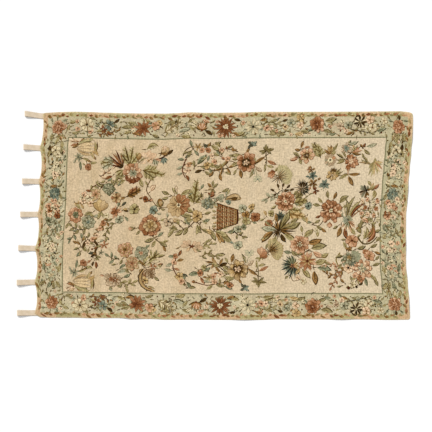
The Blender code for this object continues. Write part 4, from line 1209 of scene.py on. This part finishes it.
for x, y, turn, long, wide, dye in (
        (76.4, 67, 76, 7.6, 3, rust), (76, 65.4, 172, 6, 3, rust), (79.6, 67, 12, 6, 2.6, brick),
        (74, 58.6, 145, 7.6, 3.4, moss), (74.6, 57.6, -68, 7.4, 3.2, moss), (73, 57, 188, 8, 3, coral),
        (73.4, 58, 170, 4, 1.6, wine), (118.8, 57, 148, 9, 2.2, moss), (120.6, 55.6, 178, 9, 2.2, moss),
        (120, 54, 196, 8.4, 2, olive), (120.6, 57.6, 128, 7, 2, moss), (123.4, 41, 210, 9.6, 3.4, olive),
        (124, 41, 2, 11.4, 3, rust), (124, 39.4, -62, 10.8, 4.4, rust), (146, 51.4, 156, 11, 2.4, moss),
        (143, 53, 138, 9, 2, moss), (139.6, 56.6, 120, 6.4, 2, moss), (146, 51.4, 172, 12, 1.8, tan),
        (141.4, 68.4, 16, 11, 3.8, steel), (139, 66, -38, 8.4, 3.2, moss), (138, 68, 62, 4.4, 2.4, wine),
        (137.6, 68, 130, 4, 2.4, rust), (123.4, 70.6, 20, 10.4, 3.4, steel), (122, 69, 62, 7, 3, moss),
        (127, 63, 56, 8.4, 2.6, olive), (127, 63, 34, 9.6, 2.6, brick), (127, 62.6, 12, 10, 2.8, coral),
        (127, 62.4, -6, 9.4, 2.2, rust), (129, 66, 100, 5, 2, gold)):
    leaf(x, y, turn, long, dye, wide)
lay(frond, (96.4, 56.2, 116, 19, 7.4, moss, 8, 1), (96, 59, 108, 12, 6.4, olive, 6, 1.1, 2),
    leaf, (97, 61, 50, 6, olive, 2.4), (93, 62, 176, 5, moss, 2))
for turn, long, dye in (
        (142, 8.6, rust), (116, 9.6, gold), (94, 9.4, rust), (62, 12.6, moss), (32, 6, olive),
        (78, 8, gold)):
    leaf(106, 61, turn, long, dye, 2.6)
# a flat flower, rosy on one side and grey on the other
for k in range(12):
    dye = (mauve, coral, mauve, mauve)[k % 4] if k < 5 or k > 9 else (steel, mauve)[k % 2]
    mark("petal", 105.5, 55.2, 30 * k + HAND.uniform(-6, 6), HAND.uniform(5.8, 7), 4, shade(dye, 0.6),
         shade(dye, 1.2), shade(mauve, 0.3), layer=2 + k % 2)
lay(ring, (105.5, 55.2, 7, 0, 0.5, "petal", 2.3, 1.9, cream, 1.4, 1.9, 0.9, 5),
    dot, (105.4, 55.2, 1.9, black, 0, 7),
    ring, (126.4, 53.6, 10, 20, 2.2, "petal", 5, 3.4, brick, 0.9, 1.7, 0.2, 3, 0.3),
    (126.4, 53.8, 8, 0, 1.2, "leaf", 4.6, 2.4, coral, 0.5, 1.6, 0, 4, 0.3),
    (126, 54.2, 5, 0, 0, "petal", 2.8, 2, blush, 1, 1.9, 0.2, 6),
    fan, (124.6, 50, 250, 7, 50, brick, 5, 0.2, 0.9, 3),
    path, ([(123.4, 48), (123.2, 44), (123.4, 40.6)], 1.1, coral, 0.7),
    ring, (121.4, 66.8, 9, 0, 1, "petal", 4.8, 2.8, mauve, 0.8, 1.6, 0.1, 2, 0.3),
    (121.4, 66.8, 7, 20, 0, "leaf", 3.8, 1.7, blue, 0.9, 1.9, 0.4, 4, 0.3))
for turn, long, dye in (
        (262, 16, olive), (274, 15, gold), (250, 15, moss), (286, 14, olive), (300, 13, tan),
        (316, 12, brick), (236, 9, moss), (340, 9, olive), (356, 9, gold)):
    mark("leaf", 149.4, 53.6, turn, long, 2.3, shade(dye, 1.2), shade(dye, 1.9), shade(moss, 1.1),
         HAND.uniform(-0.08, 0.08), 2)
lay(leaf, (149, 51.6, 80, 6, olive, 3), (152, 51, 60, 4, olive, 2),
    ring, (107.6, 40.4, 7, 0, 1, "petal", 4.8, 3.6, gold, 0.8, 1.6, 0, 2),
    (107.6, 40, 5, 40, 0.6, "petal", 3.2, 2.4, tan, 0.8, 1.7, 0, 3), dot, (107.6, 40, 1, rust),
    fan, (108.4, 44, 80, 5, 170, rust, 9, 0.22, 0.2, 4), (110.6, 40.6, 38, 9, 80, olive, 7, 0.14, 0.5, 2))
for x, y, size, dye, eye, count in (
        (86.6, 45.2, 4.6, rust, wine, 5), (84, 46.4, 3, coral, wine, 4), (88.2, 39.8, 5.6, blue, navy, 6),
        (89, 32, 5.4, rust, wine, 5), (91, 25, 4.6, wine, wine, 5), (99.8, 31, 6, blue, navy, 7),
        (86.6, 33.6, 3, gold, brick, 4)):
    star(x, y, size, dye, eye, count, 3, 0.8, HAND.uniform(0, 60), 0.46)
for x, y in ((97, 26), (99, 25), (101, 26.4), (103, 28)):
    dot(x, y, 0.9, steel, 1.0)
lay(leaf, (86, 29, 240, 4, coral, 1.6), (93, 35, 40, 4, rust, 2), (85, 38.6, 170, 4, blue, 1.8),
    (88, 22, 200, 4, moss, 1.4), (84, 20, 215, 4, moss, 1.4),
    fan, (78, 27, 10, 8.6, 200, navy, 15, 0.17, 0.3), (78, 27, 190, 9.4, 170, rust, 11, 0.09, 0.5),
    (78, 28, 90, 9, 90, black, 9, 0.14, 0.4, 3), (78, 27, -40, 8.6, 100, navy, 9, 0.15, 0.4, 3),
    (78, 27, 30, 6, 300, mauve, 11, 0.12, 0.6, 4),
    dot, (78.4, 26.6, 2.6, navy, 0.3, 4))
weave("field_far_high")
HAND.seed(32)

# The sprays at the far end, from the middle down
lay(peony, (61, 14, 9.4, brick, coral, 0, cream),
    ring, (61, 14, 7, 12, 5, "petal", 4.8, 5, coral, 0.8, 1.7, 0.1, 3), leaf, (69, 20, 50, 7, moss),
    twig, ([(54, 17), (48, 19), (42, 17)], moss, steel, 6, 6),
    leaf, (66, 4, -50, 6, moss), (52, 10, 210, 6, olive), (70, 12, -10, 6, teal))
for x, y, turn in (
        (50, 24, 150), (54, 27, 110), (58, 28, 70), (62, 27, 50), (53, 22, 200), (59, 24, 20),
        (65, 25, 20)):
    leaf(x, y, turn, 5, black, 2.2)
lay(path, ([(52, 21), (57, 25), (65, 26)], 0.8, navy, 0.4), frond, (68, 12, 12, 16, 7, olive, 8),
    (70, 16, 40, 10, 6, moss, 6), thistle, (84, 10, 70, 5.4, blue, 200), floret, (84, 9, 3.6, blue, navy),
    leaf, (80, 8, 200, 5, gold), star, (56, -1, 5.8, blue, navy, 8, 2, 0.5),
    (56, -1, 5, navy, black, 7, 3, 0.9, 40), frond, (60, 3, -12, 24, 8, gold, 9, 1),
    (62, 6, -4, 17, 6, olive, 7, 1.1), leaf, (78, 1, -55, 9, olive, 3), (83, -1, -85, 7, gold, 2.6),
    floret, (45, -8, 4.4, brick, wine, 6, 2, 0.7), leaf, (50, -4, 30, 5, moss),
    floret, (47, 2, 3.4, olive, rust), leaf, (42, 0, 120, 6, gold), (40, -3, 200, 5, olive),
    fan, (56, -14, 52, 17, 50, moss, 5, 0.15, 0.4, 2), (56, -15, 4, 18, 56, rust, 6, 0.1, 0.4, 2),
    (54, -15, 250, 11, 70, black, 5, 0.14, 0.7, 2), (54, -14, 110, 10, 60, rust, 5, 0.18, 0.6, 3))
for x, y, turn, long, dye in (
        (52, -14, 172, 15, steel), (49, -16, 222, 15, rust), (58, -9, 62, 15, moss),
        (61, -12, 20, 16, moss), (60, -18, -32, 14, olive), (52, -20, -100, 9, olive),
        (48, -10, 146, 9, moss), (53, -7, 100, 10, rust), (66, -7, 30, 9, moss), (45, -20, 205, 9, olive),
        (57, -18, -58, 10, black)):
    leaf(x, y, turn, long, dye, layer=3)
lay(dot, (55, -14, 3.4, black), peony, (75.6, -28.6, 8.8, coral, wine, 8, cream),
    ring, (75.6, -28.6, 8, 0, 2.5, "disc", 1.2, 1.2, cream, 1.4, 1.8, 1, 7),
    dot, (75.6, -28.6, 2, steel, 0.8, 9),
    ring, (75.6, -28.6, 9, 20, 4.6, "petal", 4.4, 4.4, coral, 0.9, 1.7, 0, 3),
    leaf, (84, -20, 60, 8, moss), (78, -17, 100, 7, olive))
for x, y, turn, long, dye in (
        (80, -22, 40, 12, olive), (83, -27, 12, 15, rust), (87, -33, 11, 16, moss),
        (89, -36, -26, 12, coral), (90, -48, 16, 13, olive), (93, -52, -10, 14, teal),
        (90, -55, -88, 14, rust), (78, -53, -52, 12, olive), (82, -36, 190, 12, moss),
        (76, -52, 226, 9, gold), (73, -40, 130, 8, moss), (68, -37, 170, 8, teal),
        (96, -41, 24, 9, olive), (100, -46, -20, 7, moss)):
    leaf(x, y, turn, long, dye, 0.46 * long)
lay(star, (83.4, -45.4, 10.5, coral, wine, 9, 3, 0.8, 15, 0.36),
    ring, (83.4, -45.4, 8, 20, 0, "leaf", 9, 2.8, brick, 0.9, 1.5, 0, 4),
    (83.4, -45.4, 6, 0, 0, "leaf", 6.4, 2.2, gold, 0.6, 1.6, 0, 5), dot, (83.4, -45.4, 3, wine, 0.4, 7),
    fan, (69, -50, 200, 14, 200, blue, 17, 0.15, 0.5), (69, -50, 195, 11, 180, navy, 13, 0.14, 0.7, 3),
    (69, -50, 100, 11, 60, teal, 7, 0.16, 0.8, 3), (70, -50, 20, 7, 120, gold, 7, 0.2, 1, 3),
    star, (69, -50, 3.4, brick, black, 6, 5), path, ([(66, -58), (68, -65), (74, -64)], 0.8, rust, 0.7),
    floret, (78, -65, 3.4, cream, blush), (73, -62, 3, blush, gold), leaf, (64, -60, 220, 5, moss))
for turn, long, dye in (
        (165, 7, steel), (195, 7.6, black), (218, 7.6, mauve), (240, 8.4, steel), (262, 7.4, rust),
        (140, 8, steel), (112, 6, navy), (70, 5, steel), (-60, 6, rust), (20, 4, rust)):
    mark("petal", 141.8, 24.8, turn, long, 2.3, shade(black, 0.5), shade(dye, 1.2), shade(dye, 0.3),
         HAND.uniform(-0.1, 0.1), 2)
lay(dot, (142, 24.8, 2.2, black, 0.2, 4),
    leaf, (144, 26, 30, 8, olive, 3.4), (146, 29, 120, 6, olive, 3), (149.6, 25.4, -92, 8.4, olive, 4.2),
    (149.6, 26, 50, 7.4, brick, 2.6), (146, 27, 60, 6, tan, 2.4))
for x, y in (
        (138, 14), (143, 16), (149, 13), (152, 7), (147, 7), (141, 8), (138, 2), (144, 1), (150, 0),
        (154, -4), (147, -6), (140, -4), (136, 9), (153, 14)):
    floret(x, y, 2.4, HAND.choice((cream, blush, coral, brick)), HAND.choice((wine, brick, moss)))
    leaf(x + 2, y - 3, HAND.uniform(0, 360), 4.2, HAND.choice((moss, olive)))
    leaf(x - 2, y + 2, HAND.uniform(0, 360), 3.4, HAND.choice((wine, moss)))
lay(path, ([(144, 18), (146, 6), (143, -8), (136, -12)], 0.8, moss, 0.5),
    ([(152, 12), (146, 6), (138, 4)], 0.8, rust, 0.5), peony, (107, 5, 11, brick, wine, 5, cream),
    ring, (107, 5, 8, 15, 5, "petal", 6, 6.4, brick, 0.9, 1.7, 0.1, 3),
    (107, 5, 8, 0, 2.2, "petal", 3.8, 3.2, coral, 0.6, 1.9, 0.2, 5),
    (106, -4, 5, 200, 2.4, "petal", 5, 5, coral, 0.5, 1.5, 0, 4),
    leaf, (96, 10, 170, 8, moss), (98, 13, 130, 7, olive), (104, 17, 100, 8, moss),
    (109, 16, 70, 8, rust), (115, 12, 40, 12, moss, 5, 0.15), (118, 8, 15, 8, olive),
    (97, 0, 200, 6, wine), (122, -2, 96, 19, moss, 3.4, -0.14, 3), (124, -2, 74, 22, moss, 3.6, 0.12, 3),
    (127, -3, 48, 20, wine, 3.2, 0.16, 3), (126, -2, 60, 19, olive, 3.2, 0.1, 2),
    (120, -2, 118, 12, steel, 3, 0, 2),
    scallop, (124, -4, 30, 5.6, teal, steel, 5, 130, 2), (124, -4, 200, 6.4, blue, steel, 5, 110, 3),
    fan, (124, -6, -80, 12, 110, blush, 8, 0.18, 1, 2), (125, -6, -60, 9, 90, wine, 6, 0.14, 1.4, 3),
    (124, -6, -100, 9, 60, teal, 5, 0.14, 1, 4),
    dot, (124, -4, 2.4, navy),
    leaf, (117, -11, -110, 11, rust), (121, -12, -80, 11, wine), (127, -11, -60, 9, olive),
    (114, -10, 210, 6, moss), (88, -7, 170, 6, teal), (90, -8, 30, 7, moss), (92, -10, -30, 8, moss),
    (94, -13, -90, 8, olive), (97, -12, -40, 7, rust),
    floret, (93, -15, 3, cream, olive), path, ([(100, -4), (95, -10), (88, -9)], 0.9, rust, 0.4),
    floret, (128, -25, 6, coral, wine, 6, 2, 0.8), leaf, (122, -24, 180, 5, moss),
    (133, -22, 40, 5, olive))
# the paisley leaf
for k in range(11):
    share = k / 10
    angle = math.radians(215 - 250 * share)
    mark("petal", 143 + (7 - 1.5 * share) * math.cos(angle), -13 + (9 - 2 * share) * math.sin(angle),
         120 - 250 * share, 7.4 - 2 * share, 4.8 - 2 * share, shade(moss, 0.4), shade(olive, 1.4),
         shade(black, 0.3), layer=1 + k % 2)
lay(leaf, (149, -9, -112, 19, brick, 3.6, 0.22, 3), (147.6, -8, -110, 17, rust, 1.8, 0.22, 4),
    (144, -8, 150, 8, coral, 3, -0.3, 3), (139, -24, 76, 13, olive, 4.4, -0.2, 3),
    path, ([(134, -22), (139, -28), (147, -27), (153, -21)], 1.6, moss, 0.4, 4),
    leaf, (137, -12, 200, 6, rust), (150, -16, 20, 7, moss), (152, -26, 50, 7, moss),
    (140, -4, 140, 5, rust), (133, -33, 20, 9, moss), (128, -35, 160, 8, rust), (138, -34, -10, 8, coral),
    (146, -32, 30, 8, moss), (119, -40, 190, 8, moss), (122, -33, 110, 8, olive), (124, -36, 70, 8, rust),
    (150, -36, -20, 7, rust), (148, -50, 20, 8, moss), (145, -58, -50, 9, olive), (151, -44, 50, 6, moss),
    (140, -62, -80, 8, teal), (148, -63, -60, 8, moss), (131, -62, 200, 6, olive),
    (118, -48, 230, 7, moss),
    peony, (124, -44, 6.4, teal, navy, 10, cream), scallop, (129, -42, 30, 9, steel, teal, 7, 130, 3),
    (127, -45, -60, 7, blue, navy, 5, 110, 3),
    ring, (125, -42, 9, 0, 1.4, "petal", 4.6, 3, steel, 0.2, 1.5, 0, 6),
    (125, -42, 5, 0, 0, "leaf", 3, 1.4, gold, 0.6, 1.6, 0.1, 7), floret, (145, -40, 5.4, coral, gold, 6),
    (141, -36, 3, brick, gold),
    ring, (137.6, -53, 8, 5, 4.4, "petal", 6.2, 5.8, coral, 1, 1.8, 0, 2),
    (137.6, -53, 7, 20, 2.6, "petal", 5, 4.4, blush, 0.9, 1.9, 0, 4),
    (137.6, -53, 4, 0, 0, "leaf", 5.2, 2.8, steel, 0.5, 1.5, 0, 6),
    (137.6, -53, 4, 45, 0, "leaf", 3.2, 1.8, cream, 0.8, 1.8, 0, 7),
    dot, (137.6, -53, 1.2, black, 0.4, 9), floret, (124, -52, 5, blush, black, 6),
    dot, (124, -52, 2.2, black, 0.1, 7),
    path, ([(116, -37), (112, -44), (116, -52), (122, -56)], 1.4, olive, 0.8),
    twig, ([(122, -54), (114, -56), (106, -60), (101, -57)], brick, rust, 7, 5),
    ([(116, -56), (110, -64), (106, -71)], coral, brick, 6, 4.6),
    ([(112, -50), (106, -48), (100, -50)], blush, coral, 4, 4),
    star, (112, -51, 3.6, coral, wine, 5), floret, (135, -63, 3.8, brick, cream, 5),
    (130, -60, 3, coral, wine), twig, ([(134, -60), (130, -66), (124, -70)], rust, olive, 4, 4.4),
    floret, (127, -69, 3.8, cream, olive, 5), dot, (123, -72, 3.4, wine, 0.3), (131, -71, 2.6, black),
    leaf, (119, -67, 130, 6, rust), (116, -70, 190, 5, moss), (133, -69, 30, 5, black),
    (126, -65, 100, 5, moss),
    floret, (31, -1, 5.2, brick, wine, 7, 2, 0.8), (22, 1, 4.4, rust, wine, 5, 2, 1.1),
    (22, -5, 4.4, olive, cream, 5, 2, 1.2), (18, 8, 4, steel, teal, 5, 2, 1.3), (27, 9, 3.6, gold, black),
    path, ([(18, 0), (24, 4), (31, -1)], 0.8, moss, 0.4),
    leaf, (26, 3, 70, 6, moss), (27, -3, -50, 5, moss), (17, -2, 200, 5, olive), (22, 5, 130, 5, moss),
    (28, -6, -20, 5, teal), (15, 3, 160, 4, black))
weave("field_far_low")

# The tape loops
# Seven lengths of flat cotton tape, each folded in half and sewn by its two tails behind the top hem.
# Twill tape is matt, with a firm selvedge along each side, and it has kept the press of its fold.
EYE_HIGH, LEG_REST = 9 * MM, 9 * MM
FOLD_STEPS, LEG_STEPS, ACROSS_STEPS = 16, 22, 10

# Cotton twill tape, undyed: matt, darker along its selvedges. Its twill lines are drawn 8.4 mm apart
# so that they show, and are under 1 mm apart in real tape.
TAPE_MAP_LONG, TWILL, SELVEDGE = 0.25, 8.375 * MM, 3 * MM
cotton_tape, tree, shader = matt_finish("cotton_twill_tape", 0.88, 0.08)
place = over_cloth("Tape", TAPE_MAP_LONG, TAPE_WIDE)
over = node("SeparateXYZ", (place,), 1)
from_side = node("Math", (over, node("Math", (TAPE_WIDE, over), operation="SUBTRACT")), operation="MINIMUM")
cotton = layered(yarn("#DCC9B1"), (patches(30 * MM, 0.35, 0.65, detail=3), "#CFBDA1"),
                 (node("MapRange", (from_side, 1 * MM, SELVEDGE, 0.55, 0)), "#A8906B"))
tree.links.new(cotton, shader.inputs["Base Color"])
twill_scale = math.pi / (5 * math.sqrt(2) * TWILL)
twill = node("TexWave", {"Vector": place, "Scale": twill_scale, "Distortion": 0.4}, 1,
             wave_type="BANDS", bands_direction="DIAGONAL")
bump = node("Bump", {"Height": twill, "Distance": 0.4 * MM, "Strength": 0.6})
tree.links.new(bump, shader.inputs["Normal"])


def loop_path(reach):
    """The middle of the tape, from its lower tail round the fold to its upper tail: distance and height."""
    low = TAPE / 2
    upper = low + TAPE + TOUCH_GAP
    top = low + TAPE + EYE_HIGH
    half = (top - low) / 2
    fold = reach - half
    path = [(-SEAM_TAIL, low), (-SEAM_TAIL / 2, low)]
    path += [(LEG_REST + (fold - LEG_REST) * k / 8, low) for k in range(8)]
    for k in range(FOLD_STEPS + 1):
        turn = math.pi * (k / FOLD_STEPS - 0.5)
        path.append((fold + half * math.cos(turn), low + half + half * math.sin(turn)))
    for k in range(1, LEG_STEPS + 1):
        share = k / LEG_STEPS
        path.append((fold + share * (LEG_REST - fold), top + (upper - top) * smooth(share)))
    return path + [(-SEAM_TAIL / 2, upper), (-SEAM_TAIL, upper)]


for number, row in enumerate(LOOPS, 1):
    hem, middle = lying(-LONG / 2, row["across"])
    reach = row["hem"] - row["tip"]
    path = loop_path(reach)
    points = []
    for out, height in path:
        share = max(out, 0.0) / reach
        waist = 1 - 0.035 * math.sin(math.pi * share)
        for k in range(ACROSS_STEPS + 1):
            aside = TAPE_WIDE * (k / ACROSS_STEPS - 0.5) * waist
            sway = row["lean"] * share
            points.append((hem - out + OFFSET[0], middle + sway + aside + OFFSET[1], height))
    side = ACROSS_STEPS + 1
    quads = [(i * side + j, (i + 1) * side + j, (i + 1) * side + j + 1, i * side + j + 1)
             for i in range(len(path) - 1) for j in range(ACROSS_STEPS)]
    mesh = bpy.data.meshes.new(f"tape_{number}")
    mesh.from_pydata(points, [], quads)
    mesh.shade_smooth()
    tape_map = mesh.uv_layers.new(name="Tape")
    for corner in mesh.loops:
        i, j = divmod(corner.vertex_index, side)
        tape_map.uv[corner.index].vector = (i / (len(path) - 1), j / ACROSS_STEPS)
    mesh.materials.append(cotton_tape)
    tape = bpy.data.objects.new(f"tape_loop_{number}", mesh)
    bpy.context.scene.collection.objects.link(tape)
    wall = tape.modifiers.new("Thickness", "SOLIDIFY")
    wall.thickness = TAPE
    wall.offset = 0
    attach(tape, "root")
    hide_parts(f"tab_loop_{number}")

# The floor, the light and the camera
# A plain white floor under soft studio light from the upper left, and a long lens straight above
VIEW_WIDE, CAMERA_HIGH = 2.592, 9.0
PHOTO_MIDDLE = (6.2 * MM, -3.7 * MM)
FLOOR, SKY, KEY = 40, 0.62, 2.95

floor_mesh = bpy.data.meshes.new("floor")
corners = [(FLOOR * x, FLOOR * y, 0) for x, y in ((-1, -1), (1, -1), (1, 1), (-1, 1))]
floor_mesh.from_pydata(corners, [], [(0, 1, 2, 3)])
floor = bpy.data.objects.new("floor", floor_mesh)
bpy.context.scene.collection.objects.link(floor)
# White painted board, rolled: matt, with no pattern of its own
white, tree, shader = matt_finish("white_painted_floor", 0.9, 0.0)
shader.inputs["Base Color"].default_value = yarn("#F7F7F7")
floor_mesh.materials.append(white)

world = bpy.data.worlds.new("studio")
world.use_nodes = True
background = world.node_tree.nodes["Background"]
background.inputs["Color"].default_value = yarn("#FFFFFF")
background.inputs["Strength"].default_value = SKY
bpy.context.scene.world = world
key = bpy.data.lights.new("key", "SUN")
key.energy = KEY
key.angle = math.radians(14)
key_light = bpy.data.objects.new("key", key)
key_light.rotation_euler = Vector((0.62, -0.85, -0.70)).to_track_quat("-Z", "Y").to_euler()
bpy.context.scene.collection.objects.link(key_light)

lens = bpy.data.cameras.new("camera")
lens.sensor_width = 36
lens.lens = 36 * CAMERA_HIGH / VIEW_WIDE
lens.clip_end = 100
camera = bpy.data.objects.new("camera", lens)
camera.location = (*PHOTO_MIDDLE, CAMERA_HIGH)
bpy.context.scene.collection.objects.link(camera)
bpy.context.scene.camera = camera
bpy.context.scene.view_settings.view_transform = "Standard"
